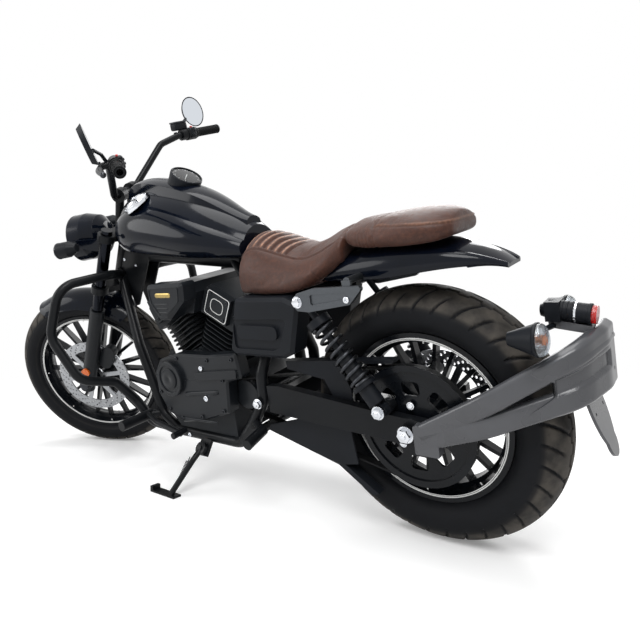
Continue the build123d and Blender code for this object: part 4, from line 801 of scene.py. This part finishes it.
def pillion_work(p, normal):
    """Two cross seams, then four short pleats on the sides near the nose, and a welt along the upper edge."""
    pleat_fade = 1 - smooth(0.6, 0.9, normal.z)
    out = -sum(depth * swell_at(p.x - x, 2.2) for x, depth in PILLION_SEAMS)
    out -= sum(depth * swell_at(p.x - x, 2.2) for x, depth in PILLION_PLEATS) * pleat_fade
    edge = above_welt(p)
    out += (1 - smooth(0.55, 0.9, normal.z)) * (-1.6 * swell_at(edge, 2.2) + 1.3 * swell_at(edge - 4, 2.0))
    return out + 0.9 * noise.noise(Vector(p) * 0.02 + Vector((3, 1, 2)))


# Paler along the crest of the welt, on the pad's sides.
def pillion_welt_paler(p, normal):
    return 0.5 * swell_at(above_welt(p) - 4, 2.5) * (1 - smooth(0.55, 0.9, normal.z))


saddle("stitched_rider_seat", "rider_seat", lambda x: 664 if x > 230 else 705, rider_work, rider_painted_highlight, 7)
saddle("stitched_pillion_seat", "pillion_seat", lambda x: 764, pillion_work, pillion_welt_paler, 6)


# ---------------------------------------------------------------- fasteners
BOLT_SIDES = 18


def socket_bolt(place, axis, head, high=0.0):
    """Cap bolt with a bevelled rim and a round socket. The head is given by its radius."""
    high = high or head * 0.8
    wall, floor_at = head * 0.56, high - head * 0.5
    line = [(head, -1.5), (head, high - 0.8), (head - 0.8, high), (wall, high), (wall * 0.97, floor_at)]
    points, faces = lathe(line, BOLT_SIDES)
    rim = len(points) - BOLT_SIDES
    faces += [(rim + i, rim + (i + 1) % BOLT_SIDES, len(points)) for i in range(BOLT_SIDES)]
    return placed((points + [(0, 0, floor_at)], faces), toward(place, axis))


def hex_bolt(place, axis, head, high, shank=0.0):
    """Hexagon bolt or nut over a washer."""
    washer = lathe([(head * 1.35, -1.5), (head * 1.35, 1.2), (head * 0.9, 1.2)], 20)
    wide = head * 1.08
    points, faces = lathe([(wide, 1.0), (wide, high), (wide * 0.84, high + 0.9)], 6)
    parts = [washer, (points, faces + [tuple(range(12, 18))])]
    if shank:
        end, top = high + shank, head * 0.5
        parts.append(lathe([(top, high), (top, end - 1), (head * 0.4, end), (0.01, end)], 14))
    return placed(joined(*parts), toward(place, axis))


LEFT, RIGHT, UP, AHEAD = (0, 1, 0), (0, -1, 0), (0, 0, 1), (1, 0, 0)
COVER_Y = 150                                           # outer face of both engine covers
ALTERNATOR, CLUTCH = (819, 388), (700, 350)             # (x, z) of the round caps on the left and right cover
# (x, z) of the cap bolts round the left engine cover, then round the right one
LEFT_COVER_BOLTS = [(598, 304), (700, 274), (796, 257), (852, 280), (886, 336), (886, 396), (858, 432),
                    (780, 455), (640, 457), (535, 466), (585, 400)]
RIGHT_COVER_BOLTS = [(602, 250), (800, 243), (876, 306), (878, 410), (838, 458), (612, 466), (604, 360)]
bolts = [socket_bolt((x, COVER_Y, z), LEFT, 6.0) for x, z in LEFT_COVER_BOLTS]
bolts += [socket_bolt((x, -COVER_Y, z), RIGHT, 6.0) for x, z in RIGHT_COVER_BOLTS]
for left, right in zip(around(6, 50, 20), around(6, 74, 20)):
    bolts.append(socket_bolt((ALTERNATOR[0] + left[0], 161, ALTERNATOR[1] + left[1]), LEFT, 4.5))
    bolts.append(socket_bolt((CLUTCH[0] + right[0], -162, CLUTCH[1] + right[1]), RIGHT, 5.0))
piece("engine_cover_bolts", bolts, "chassis", oxide)

FRAME_FASTENERS = [          # kind, place on the left side, then the head's radius, height and shank
    (hex_bolt, (0, 152.5, AXLE_H), 15, 13, 6),          # rear axle
    (hex_bolt, (452, 154, 345), 11, 9, 3),              # swingarm pivot
    (hex_bolt, (237, 179.8, 642), 11, 8, 0),            # damper, upper stud
    (socket_bolt, (90, 179.8, 648), 8, 5),
    (hex_bolt, (52, 174, 377), 12, 9, 3),               # damper, lower stud
    (socket_bolt, (810, 122, 188), 7, 5),
    (socket_bolt, (1130, 29, 770), 6, 4),
    (socket_bolt, (1070, 29, 745), 6, 4),
]
bright = [socket_bolt((670, COVER_Y, 431), LEFT, 8.0, 5), socket_bolt((668, COVER_Y, 336), LEFT, 9.0, 5)]
for side in (-1, 1):
    bright += [make((x, y * side, z), (0, side, 0), *sizes) for make, (x, y, z), *sizes in FRAME_FASTENERS]
piece("bright_frame_fasteners", bright, "chassis", plated)


# ---------------------------------------------------------------- engine covers: cap rings and ribs
def bar_between(start, end, y, radius, flat):
    """Raised round-ended rib between two (x, z) points of a side face."""
    a, b = Vector((start[0], y, start[1])), Vector((end[0], y, end[1]))
    nose = (b - a).normalized() * radius
    path = [a - nose * 0.7, a - nose * 0.3] + [a + (b - a) * i / 6 for i in range(7)]
    path += [b + nose * 0.3, b + nose * 0.7]
    sides, tapers = 14, [0.45, 0.86] + [1.0] * 7 + [0.86, 0.45]
    points, faces = tube(path, radius, sides)
    for i, p in enumerate(points):
        off = (p - path[i // sides]) * tapers[i // sides]
        off.y *= flat
        points[i] = path[i // sides] + off
    return points, faces


alternator_at = (ALTERNATOR[0], 160.9, ALTERNATOR[1])
ribs = [
    turned(alternator_at, LEFT, [(57, 0), (57, 2.5), (55, 4), (46, 4), (44, 2.5), (44, -1)], 56),
    turned(alternator_at, LEFT, [(34, -1), (34, 3), (32, 4.2), (8, 4.2), (6, 3), (0.01, 3)], 48),
    turned((CLUTCH[0], -161.8, CLUTCH[1]), RIGHT,
           [(83, 0), (83, 3), (80, 5), (60, 5), (57, 3), (57, 1.5), (24, 1.5), (22, 4), (0.01, 4)], 64),
]
COVER_RIBS = [               # ends, radius, and how far the rib is flattened
    ((758, 341), (617, 359), 7.5, 0.7), ((608, 420), (520, 430), 6, 0.7), ((606, 410), (520, 419), 3, 0.7),
    ((640, 262), (800, 256), 4, 0.7), ((755, 386), (622, 405), 2.2, 0.6),
]
ribs += [bar_between(start, end, COVER_Y, radius, flat) for start, end, radius, flat in COVER_RIBS]
piece("engine_cover_ribs", ribs, "chassis", cover_coat)


# ---------------------------------------------------------------- speedometer: bezel, dial, needle and glass
def swung(corners, angle):
    """Flat (radius, width) corners turned by an angle."""
    c, s = cos(angle), sin(angle)
    return [(r * c - w * s, r * s + w * c) for r, w in corners]


DIAL, DIAL_TILT = Vector((762, 0, 1018)), radians(38)
dial_up = Vector((-sin(DIAL_TILT), 0, cos(DIAL_TILT)))
bezel = [(52.5, -14), (53.5, 0), (53, 5), (51, 7), (48.5, 6.5), (47.5, 3), (47.5, 0.6)]
piece("speedometer_bezel", [turned(DIAL, dial_up, bezel, 72)], "chassis", moulded)
dial = turned(DIAL, dial_up, [(47.6, 0.5), (30, 0.5), (0.01, 0.5)], 72)
piece("speedometer_dial", [dial], "chassis", dial_black)
marks = []
for i in range(25):
    inner, wide = (36, 1.1) if i % 3 == 0 else (40, 0.6)
    tick = swung([(inner, -wide), (44, -wide), (44, wide), (inner, wide)], radians(225 - i * 270 / 24))
    marks.append(([(x, y, 0.75) for x, y in tick], [(0, 1, 2, 3)]))
needle = swung([(-9, -1.6), (34, -0.5), (34, 0.5), (-9, 1.6)], radians(222))
marks.append(([(x, y, 2.2) for x, y in needle], [(0, 1, 2, 3)]))
piece("speedometer_marks", [placed(joined(*marks), toward(DIAL, dial_up))], "chassis", pinstripe)
glass = turned(DIAL, dial_up, [(48, 3.2), (40, 4.6), (24, 5.8), (0.01, 6.2)], 72)
piece("speedometer_crystal", [glass], "chassis", crystal)

# ---------------------------------------------------------------- fuel cap: flanged, with a domed lid
CAP_AT, CAP_AXIS = (905, 104, 962), (0.25, 0.5, 0.83)
cap_line = [(48, -12), (48, -1.5), (46.5, 1.5), (42, 2.0), (40.5, 6.5), (38.5, 8.5), (34.5, 9), (33.5, 8),
            (32, 8.2), (29, 11.5), (22, 14.5), (11, 16.2), (0.01, 16.6)]
cap_parts = [lathe(cap_line, 64)]
cap_parts += [socket_bolt((x, y, 1.8), UP, 2.6, 1.8) for x, y in around(7, 44.2)]
cap_parts.append(placed(lathe([(5.5, 0), (5.5, 2.4), (4.8, 3), (0.01, 3)], 20),
                        Matrix.Translation((8, 0, 15.2))))
cap = placed(joined(*cap_parts), toward(CAP_AT, CAP_AXIS))
piece("chromed_fuel_cap", [cap], "chassis", plated, ["fuel_cap"])

# ---------------------------------------------------------------- grips and levers
BAR_END, BAR_ELBOW = Vector((828, 433, 1123)), Vector((930, 262, 1142))
grip_dir = (BAR_END - BAR_ELBOW).normalized()
fore = grip_dir.cross(Vector(UP)).normalized()
rise = fore.cross(grip_dir).normalized()
rise = rise if rise.z > 0 else -rise
# the lever's perch and the switch housing
perch, switch = BAR_END - grip_dir * 176, BAR_END - grip_dir * 142
lever_drop = Vector((0, 0, -4))
grip_line = [(12.6, 2), (17.0, 2), (18.0, 4), (18.0, 8)]
for i in range(22):
    h = 11 + i * 4.4
    grip_line += [(16.2, h - 1.6), (16.2, h - 0.7), (17.4, h), (17.4, h + 1.4)]
grip_line += [(16.4, 110), (20.0, 112), (21.0, 115), (21.0, 119), (19.5, 120), (12.6, 120)]
ball_line = [(9 * sin(pi * k / 10) + 0.01, -9 * cos(pi * k / 10)) for k in range(11)]
grips, balls = [], []
for side in (-1, 1):
    flip = Matrix.Diagonal((1, side, 1, 1))
    grips.append(placed(turned(BAR_END, -grip_dir, grip_line, 40, closed=True), flip))
    balls.append(placed(turned(perch + fore * 44 + grip_dir * 120 + lever_drop, grip_dir, ball_line, 20),
                        flip))
    balls.append(placed(socket_bolt((0, 0, 10), UP, 7, 5), flip @ toward(perch + fore * 46, UP)))
piece("ribbed_grips", grips, "steering", soft_rubber, ["grips"])
piece("lever_tips_and_pivots", balls, "steering", oxide)

# ---------------------------------------------------------------- brake discs, drilled
HOLE_R, HOLES_ROUND = 3.6, 26
# share of the ring's width, share of a step round
HOLE_ROWS = ((0.18, 0.0), (0.40, 0.33), (0.62, 0.66), (0.84, 0.0))


def drilled(name, node, body, hub, y, outer, inner):
    """The brake disc with rows of holes through its ring, cut by a boolean."""
    disc = bpy.data.objects.new(name, nodes[node].data.copy())
    bpy.context.scene.collection.objects.link(disc)
    pins = []
    for share, shift in HOLE_ROWS:
        r = inner + (outer - inner) * share
        for i in range(HOLES_ROUND):
            a = 2 * pi * (i + shift) / HOLES_ROUND
            hole = [(0.01, -9), (HOLE_R, -9), (HOLE_R, 9), (0.01, 9)]
            pins.append(turned((hub[0] + r * cos(a), y, hub[1] + r * sin(a)), LEFT, hole, 10))
    points, faces = joined(*pins)
    cutter_mesh = bpy.data.meshes.new(name + "_pins")
    cutter_mesh.from_pydata([tuple(p) for p in points], [], faces)
    cutter_mesh.transform(PLACE[body])
    cleaned = bmesh.new()
    cleaned.from_mesh(cutter_mesh)
    bmesh.ops.remove_doubles(cleaned, verts=cleaned.verts, dist=0.00005)
    bmesh.ops.recalc_face_normals(cleaned, faces=cleaned.faces)
    cleaned.to_mesh(cutter_mesh)
    cleaned.free()
    cutter = bpy.data.objects.new(name + "_pins", cutter_mesh)
    bpy.context.scene.collection.objects.link(cutter)
    applied(disc, "BOOLEAN", operation="DIFFERENCE", object=cutter, solver="EXACT")
    bpy.data.objects.remove(cutter)
    disc.data.materials.clear()
    disc.data.materials.append(ground_steel)
    disc.data.shade_smooth()
    disc.data.set_sharp_from_angle(angle=radians(35))
    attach(disc, body)
    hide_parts(node)


drilled("drilled_front_disc", "front_disc", "front_wheel", FRONT_HUB, 60.5, 149, 112)
drilled("drilled_rear_disc", "rear_disc", "rear_wheel", REAR_HUB, -74.5, 135, 100)


# ---------------------------------------------------------------- lamps: bowl, bulb and ribbed glass
def lamp_unit(name, body, centre, axis, radius, depth, dome, node, bulb, bars):
    """Faceted bowl, bulb and domed glass, with flutes that run up the glass."""
    at = toward(centre, axis)
    bowl_line = [(radius - 0.5, -0.5), (radius - 2, -0.8), (radius * 0.82, -depth * 0.45),
                 (radius * 0.55, -depth * 0.8), (radius * 0.2, -depth), (0.01, -depth)]
    points, faces = lathe(bowl_line, 48)
    for i, (x, y, z) in enumerate(points):
        if 1 < sqrt(x * x + y * y) < radius * 0.9:
            facet = 1 + 0.02 * cos(12 * math.atan2(y, x))
            points[i] = (x * facet, y * facet, z)
    piece(name + "_bowl", [placed((points, faces), at)], body, reflector)
    bulb_line = [(bulb * 0.6, -depth + 0.5), (bulb * 0.6, -depth * 0.55), (bulb, -depth * 0.35),
                 (bulb * 0.9, -depth * 0.12), (bulb * 0.5, 0.0), (0.01, 0.4)]
    piece(name + "_bulb", [turned(centre, axis, bulb_line, 24)], body, amber_bulb)
    rows, steps = 14, 96
    skirt = [(x, y, -3.0) for x, y in around(steps, radius)]
    glass = []
    for i in range(rows + 1):
        r = radius * (1 - i / rows) + 0.01
        for x, y in around(steps, r):
            flute = 0.5 * (1 - abs(((x / radius * bars / 2) % 1.0) * 2 - 1)) if i > 0 else 0.0
            glass.append((x, y, dome * sqrt(max(0.0, 1 - (r / (radius * 1.02)) ** 2)) + flute))
    lens = placed((skirt + glass, grid_faces(rows + 2, steps)), at)
    piece(name + "_glass", [lens], body, clear_lens, [node])


BACK = (-1, 0, 0)
SIGNAL_Y, REAR_SIGNAL_Y = 165, 122
lamp_unit("headlight", "steering", (1314.5, 0, 880), AHEAD, 79.5, 11.5, 8, "headlight_lens", 15, 20)
for tag, side in (("left", 1), ("right", -1)):
    front_at, rear_at = (1302.5, SIGNAL_Y * side, 884), (-307, REAR_SIGNAL_Y * side, 552)
    lamp_unit("front_signal_" + tag, "steering", front_at, AHEAD, 27, 2.2, 10, "front_signal_lenses", 6, 10)
    lamp_unit("rear_signal_" + tag, "chassis", rear_at, BACK, 33, 4, 17, "rear_signal_lenses", 8, 12)

# black rings round the lamp mouths, and the ribs and bright ring of the tail lamp's barrel
headlight_rim = [(84, -2), (86.5, 1), (86, 4), (83, 5.5), (80.2, 4), (80.2, -1)]
signal_rim = [(27.4, -3), (28.8, -1), (28.6, 2.4), (27.2, 2.8)]
rims = [turned((1314, 0, 880), AHEAD, headlight_rim, 72, closed=True)]
rims += [turned((1300, SIGNAL_Y * side, 884), AHEAD, signal_rim, 40, closed=True) for side in (-1, 1)]
piece("front_lamp_rims", rims, "steering", lacquer)
rear_rim = [(33.3, -4), (35, -1.5), (34.8, 3), (33.2, 3.6)]
rims = [turned((-302, REAR_SIGNAL_Y * side, 552), BACK, rear_rim, 40, closed=True) for side in (-1, 1)]
TAIL_AXIS = (-80, 0, -11)
tail_rim = [(19.2, -3), (22.4, -2), (22.4, 3), (21.2, 4.5), (19.2, 4.5)]
tail_rib = [(20.6, 0), (22.2, 0.8), (22.2, 3.2), (20.6, 4)]
rims.append(turned((-374, 0, 574.3), TAIL_AXIS, tail_rim, 40, closed=True))
rims += [turned((-322 - 9 * k, 0, 581.4 - 1.24 * k), TAIL_AXIS, tail_rib, 40, closed=True) for k in range(3)]
piece("rear_lamp_rims", rims, "chassis", moulded)
bright_line = [(20.4, 0), (22.6, 0.8), (22.6, 4.6), (20.4, 5.4)]
bright_ring = turned((-346, 0, 578.1), TAIL_AXIS, bright_line, 48, closed=True)
piece("tail_lamp_bright_ring", [bright_ring], "chassis", plated)

# ---------------------------------------------------------------- raised lines and bolts, heads and intake
CRANK = (720, 360)
LEANS = (27.5, -27.5)        # front and rear cylinder, in degrees forward of upright
COVER_ALONG = 289            # middle of a head's cover, up the cylinder from the crank


def side_ring(outline, y, width, thick, inset=0.0):
    """Closed raised line along an outline (x, z) on a side face at y, its thickness outward."""
    side = 1 if y > 0 else -1
    spots = [Vector(p) for p in outline]
    middle = sum(spots, Vector((0, 0))) / len(spots)
    points = []
    for p in spots:
        inward = (middle - p).normalized()
        for offset, lift in ((inset, 0.0), (inset, thick), (inset + width, thick), (inset + width, 0.0)):
            q = p + inward * offset
            points.append((q.x, y + lift * side, q.y))
    return points, grid_faces(len(spots), 4, wrap_rows=True)


def on_cylinder(lean, across_bore, along):
    """(x, z) of a point beside a cylinder: across its bore and up along it from the crank."""
    a = radians(lean)
    return CRANK[0] + along * sin(a) + across_bore * cos(a), CRANK[1] + along * cos(a) - across_bore * sin(a)


def head_corners(lean, half_wide, half_high):
    """(x, z) of a rectangle's corners on a head's cover."""
    signs = ((-1, -1), (-1, 1), (1, 1), (1, -1))
    return [on_cylinder(lean, half_wide * i, COVER_ALONG + half_high * j) for i, j in signs]


# white enamel outlines on the rear head's raised covers, and cap bolts on both heads
lines, head_bolts = [], []
for side in (-1, 1):
    for lean in LEANS:
        if lean < 0:
            lines.append(side_ring(rounded(head_corners(lean, 48, 42), 12), 124.1 * side, 2.6, 0.4, 3.2))
            lines.append(side_ring(rounded(head_corners(lean, 26, 22), 20), 124.1 * side, 2.0, 0.4))
        spots = [(x, 124, z) for x, z in head_corners(lean, 34, 29)]
        for dx in (-60, 60):
            for along in (282, 318):
                x, z = on_cylinder(lean, dx, along)
                spots.append((x, 108, z))
        head_bolts += [socket_bolt((x, y * side, z), (0, side, 0), 5.0) for x, y, z in spots]
piece("rear_head_white_outlines", lines, "chassis", pinstripe)
piece("head_cover_bolts", head_bolts, "chassis", oxide)

# intake shields: raised border, blank name bar and three cooling slots
SHIELD_Y = 195.4
shield_line = rounded([(816, 700), (646, 703), (652, 648), (728, 590), (772, 588), (812, 642)], 16)
trim, bars = [], []
for side in (-1, 1):
    trim.append(side_ring(shield_line, SHIELD_Y * side, 4.5, 2.4, 15))
    bars.append(bar_between((706, 668), (766, 668), (SHIELD_Y + 0.4) * side, 7.5, 0.35))
    for k in range(3):
        z = 640 - 13 * k
        trim.append(bar_between((720 + 3 * k, z), (778 - 6 * k, z), (SHIELD_Y + 0.4) * side, 3.2, 0.5))
piece("intake_shield_borders", trim, "chassis", cover_coat)
piece("intake_blank_name_bars", bars, "chassis", brass)

# ---------------------------------------------------------------- bolts and dashes that turn with the wheels
pulley_bolts = [hex_bolt((x, 111.5, AXLE_H + z), LEFT, 7, 2.4) for x, z in around(5, 54, 18)]
disc_bolts = [socket_bolt((WHEELBASE + x, 63.4, FRONT_R + z), LEFT, 5) for x, z in around(6, 44, 10)]
piece("pulley_bolts", pulley_bolts, "rear_wheel", plated)
piece("front_disc_bolts", disc_bolts, "front_wheel", oxide)

# eight white dashes round both sides of each rim
for body, hub, bead, half in (("rear_wheel", REAR_HUB, REAR_BEAD, 44.0),
                              ("front_wheel", FRONT_HUB, FRONT_BEAD, 31.0)):
    dashes = []
    for i in range(8):
        corners = swung([(bead - 16, -1.8), (bead - 7, -1.8), (bead - 7, 1.8), (bead - 16, 1.8)],
                        2 * pi * i / 8 + 0.1)
        for side in (-1, 1):
            points = [(hub[0] + x, (half + lift) * side, hub[1] + z)
                      for lift in (0.0, 0.6) for x, z in corners]
            dashes.append((points, end_faces(2, 4) + grid_faces(2, 4)))
    piece(body + "_rim_dashes", dashes, body, pinstripe)


# ---------------------------------------------------------------- hand controls
def block(size, soft, matrix):
    """Softly rounded block of the given half sizes: a squared ball."""
    rows, columns = 14, 28
    points = []
    for i in range(rows + 1):
        v = pi * i / rows - pi / 2
        for j in range(columns):
            t = 2 * pi * j / columns
            raw = (cos(v) * cos(t), cos(v) * sin(t), sin(v))
            points.append(tuple(h * (abs(c) ** soft) * (1 if c >= 0 else -1) for h, c in zip(size, raw)))
    return placed((points, grid_faces(rows + 1, columns)), matrix)


def on_bar(side, base, along, ahead_by, up_by):
    """Frame beside one bar, by its grip: the base is a point of the left bar, mirrored for the right one."""
    stand = Matrix((grip_dir, fore, rise)).transposed().to_4x4()
    stand.translation = base + grip_dir * along + fore * ahead_by + rise * up_by
    return Matrix.Diagonal((1, side, 1, 1)) @ stand


control_parts, red_parts, lid_parts = [], [], []
lever_root, lever_tip = perch + fore * 46, perch + fore * 44 + grip_dir * 118 + lever_drop
blade = [lever_root + (lever_tip - lever_root) * (k / 10) + fore * (10 * sin(pi * (k / 10)))
         for k in range(11)]
for side in (-1, 1):
    control_parts.append(block((17, 22, 21), 0.45, on_bar(side, switch, 0, -4, 2)))
    control_parts.append(block((5, 6, 4), 0.5, on_bar(side, switch, 6, -22, 10)))
    control_parts.append(block((7, 5, 4), 0.5, on_bar(side, switch, -4, -24, -4)))
    red_parts.append(block((5, 4, 4), 0.5, on_bar(side, switch, 2, -10, 24)))
    lid_parts.append(placed(tube(blade, 6.2, 12), Matrix.Diagonal((1, side, 1, 1))))
control_parts.append(block((30, 19, 15), 0.35, on_bar(-1, perch, 0, 18, 34)))
lid_parts.append(block((31, 20, 3.5), 0.3, on_bar(-1, perch, 0, 18, 50)))
piece("switch_housings_and_reservoir", control_parts, "steering", moulded)
piece("stop_buttons", red_parts, "steering", button_red)
piece("lever_blades_and_reservoir_lid", lid_parts, "steering", oxide)

# ---------------------------------------------------------------- side stand spring, hooked along the leg
LEG_TOP, LEG_FOOT = Vector((745, 182, 140)), Vector((772, 262, 30))
SPRING_R, SPRING_WIRE, SPRING_TURNS, SPRING_STEPS = 6.2, 1.7, 14, 336
leg_dir = (LEG_FOOT - LEG_TOP).normalized()
spring_at = LEG_TOP + Vector((16, 0, 0))
side_axis = leg_dir.orthogonal().normalized()
other_axis = leg_dir.cross(side_axis)
coil = []
for i in range(SPRING_STEPS + 1):
    t = i / SPRING_STEPS
    a = 2 * pi * SPRING_TURNS * t
    coil.append(spring_at + leg_dir * (8 + 62 * t) + side_axis * SPRING_R * cos(a)
                + other_axis * SPRING_R * sin(a))
hook = [spring_at + leg_dir * along for along in (-6, 2, 9)]
spring = [tube(coil, SPRING_WIRE, 8), tube(hook, SPRING_WIRE, 8)]
piece("side_stand_spring", spring, "side_stand", oxide)

# ---------------------------------------------------------------- exhaust on the right: bands, outlet, shield
PIPE_Y = -180.0
can_from, can_to = Vector((394, PIPE_Y, 225)), Vector((62, PIPE_Y, 256))
can_run = can_to - can_from
band_line = [(49.5, -9), (52, -8), (52.6, -6), (52.6, 6), (52, 8), (49.5, 9)]
outlet_line = [(50, -4), (50, 2), (46, 8), (36, 10), (30, 9), (26, 3), (24, -14), (0.01, -14)]
bands = [turned(can_from + can_run * share, can_run, band_line, 64, closed=True) for share in (0.02, 0.98)]
bands.append(turned(can_to, can_run, outlet_line, 64))
outlet_bolts = [socket_bolt((x, y, 9.2), UP, 3.4, 2.4) for x, y in around(6, 42, math.degrees(0.3))]
bands += [placed(bolt, toward(can_to, can_run)) for bolt in outlet_bolts]
piece("silencer_bands_and_outlet", bands, "chassis", oxide)

SHIELD_ROWS, SHIELD_COLUMNS, SHIELD_R, SLOT_DEEP = 30, 22, 54.0, 2.6
shield_out = Vector(RIGHT)
shield_up = shield_out.cross(can_run.normalized()).normalized()
shield = []
for i in range(SHIELD_ROWS + 1):
    along = can_from + can_run * (0.08 + 0.84 * i / SHIELD_ROWS)
    for j in range(SHIELD_COLUMNS + 1):
        a = radians(-62 + 124 * j / SHIELD_COLUMNS)
        r = SHIELD_R - (SLOT_DEEP if i % 5 == 2 and 6 <= j <= 16 else 0.0)
        shield.append(along + shield_out * r * cos(a) + shield_up * r * sin(a))
shield_faces = grid_faces(SHIELD_ROWS + 1, SHIELD_COLUMNS + 1, wrap_columns=False)
piece("silencer_heat_shield", [(shield, shield_faces)], "chassis", cover_coat)

# ---------------------------------------------------------------- camera, light and floor
SENSOR_MM, PICTURE_PX = 36.0, 640


def look_from(place, target, roll, focal_px, shift_px):
    """Camera given on the upright machine in metres, carried into the parked pose."""
    cam = bpy.data.objects.new("camera", bpy.data.cameras.new("camera"))
    bpy.context.scene.collection.objects.link(cam)
    forward = (Vector(target) - Vector(place)).normalized()
    right = forward.cross(Vector(UP)).normalized()
    down = forward.cross(right).normalized()
    c, s = cos(roll), sin(roll)
    right, down = right * c - down * s, right * s + down * c
    spot = turn @ Matrix((right, -down, -forward)).transposed().to_4x4()
    spot.translation = PARKED @ (Vector(place) * 1000)
    cam.matrix_world = spot
    cam.data.sensor_width = SENSOR_MM
    cam.data.lens = focal_px * SENSOR_MM / PICTURE_PX
    cam.data.shift_x = -shift_px[0] / PICTURE_PX
    cam.data.shift_y = shift_px[1] / PICTURE_PX
    cam.data.clip_start = 0.05
    bpy.context.scene.camera = cam


look_from((-0.63320, 1.25195, 0.89444), (2.164509, -2.100649, 0.45), -0.150309, 566.0, (-37.306, -60.846))


def lamp(name, place, target, size, watts):
    light = bpy.data.objects.new(name, bpy.data.lights.new(name, "AREA"))
    light.data.shape = "DISK"
    light.data.size = size
    light.data.energy = watts
    light.location = place
    light.rotation_euler = (Vector(target) - Vector(place)).to_track_quat("-Z", "Y").to_euler()
    bpy.context.scene.collection.objects.link(light)


lamp("key_softbox", (-1.6, 2.2, 3.2), (0, 0, 0.5), 2.0, 95)
lamp("fill_softbox", (2.6, 2.6, 1.8), (0.2, 0, 0.5), 2.4, 50)
lamp("rim_softbox", (0.4, -3.0, 2.6), (0, 0, 0.6), 2.2, 70)
lamp("overhead_softbox", (0.0, 0.3, 4.0), (0, 0, 0.4), 2.6, 70)

# Pale room: it lights the machine dimly, and is white where it is seen, mirrored or looked at through glass.
world = bpy.data.worlds.new("pale_room")
bpy.context.scene.world = world
world.use_nodes = True
air = world.node_tree
back = air.nodes["Background"]
back.inputs["Color"].default_value = linear("#ffffff")
rays = add(air, "LightPath", "Is Camera Ray", {}).node.outputs
open_view = {0: rays["Is Camera Ray"], 1: rays["Is Transmission Ray"]}
mirrored = {0: add(air, "Math", "Value", open_view, operation="MAXIMUM"), 1: rays["Is Glossy Ray"]}
seen = add(air, "Math", "Value", mirrored, operation="MAXIMUM")
level = add(air, "MapRange", "Result", {"Value": seen, "To Min": 0.35, "To Max": 1.0})
air.links.new(level, back.inputs["Strength"])

FLOOR_HALF = 9
floor_mesh = bpy.data.meshes.new("floor")
corners = [(x * FLOOR_HALF, y * FLOOR_HALF, 0) for x, y in ((-1, -1), (1, -1), (1, 1), (-1, 1))]
floor_mesh.from_pydata(corners, [], [(0, 1, 2, 3)])
floor = bpy.data.objects.new("floor", floor_mesh)
bpy.context.scene.collection.objects.link(floor)
# Matt white paper sweep: it keeps the shadow near the machine and fades into the white room further out.
paper, tree, look = finish("matt_white_paper_sweep", {"Roughness": 0.9, "Base Color": linear("#f6f6f6")})
sight = add(tree, "LightPath", "Is Camera Ray", {})
dim = add(tree, "Math", "Value", {0: sight, 1: 0.18}, operation="MULTIPLY")
glow = add(tree, "Emission", "Emission", {"Strength": dim})
lit = add(tree, "AddShader", "Shader", {0: tree.nodes["Principled BSDF"].outputs["BSDF"], 1: glow})
far = add(tree, "VectorMath", "Value", {0: add(tree, "TexCoord", "Object", {})}, operation="LENGTH")
fade = add(tree, "MapRange", "Result", {"Value": far, "From Min": 1.5, "From Max": 3.0})
clear = add(tree, "BsdfTransparent", "BSDF", {})
away = add(tree, "MixShader", "Shader", {0: fade, 1: lit, 2: clear})
tree.links.new(away, tree.nodes["Material Output"].inputs["Surface"])
floor_mesh.materials.append(paper)

# ---------------------------------------------------------------- plain Standard view transform
bpy.context.scene.view_settings.view_transform = "Standard"
bpy.context.view_layer.update()
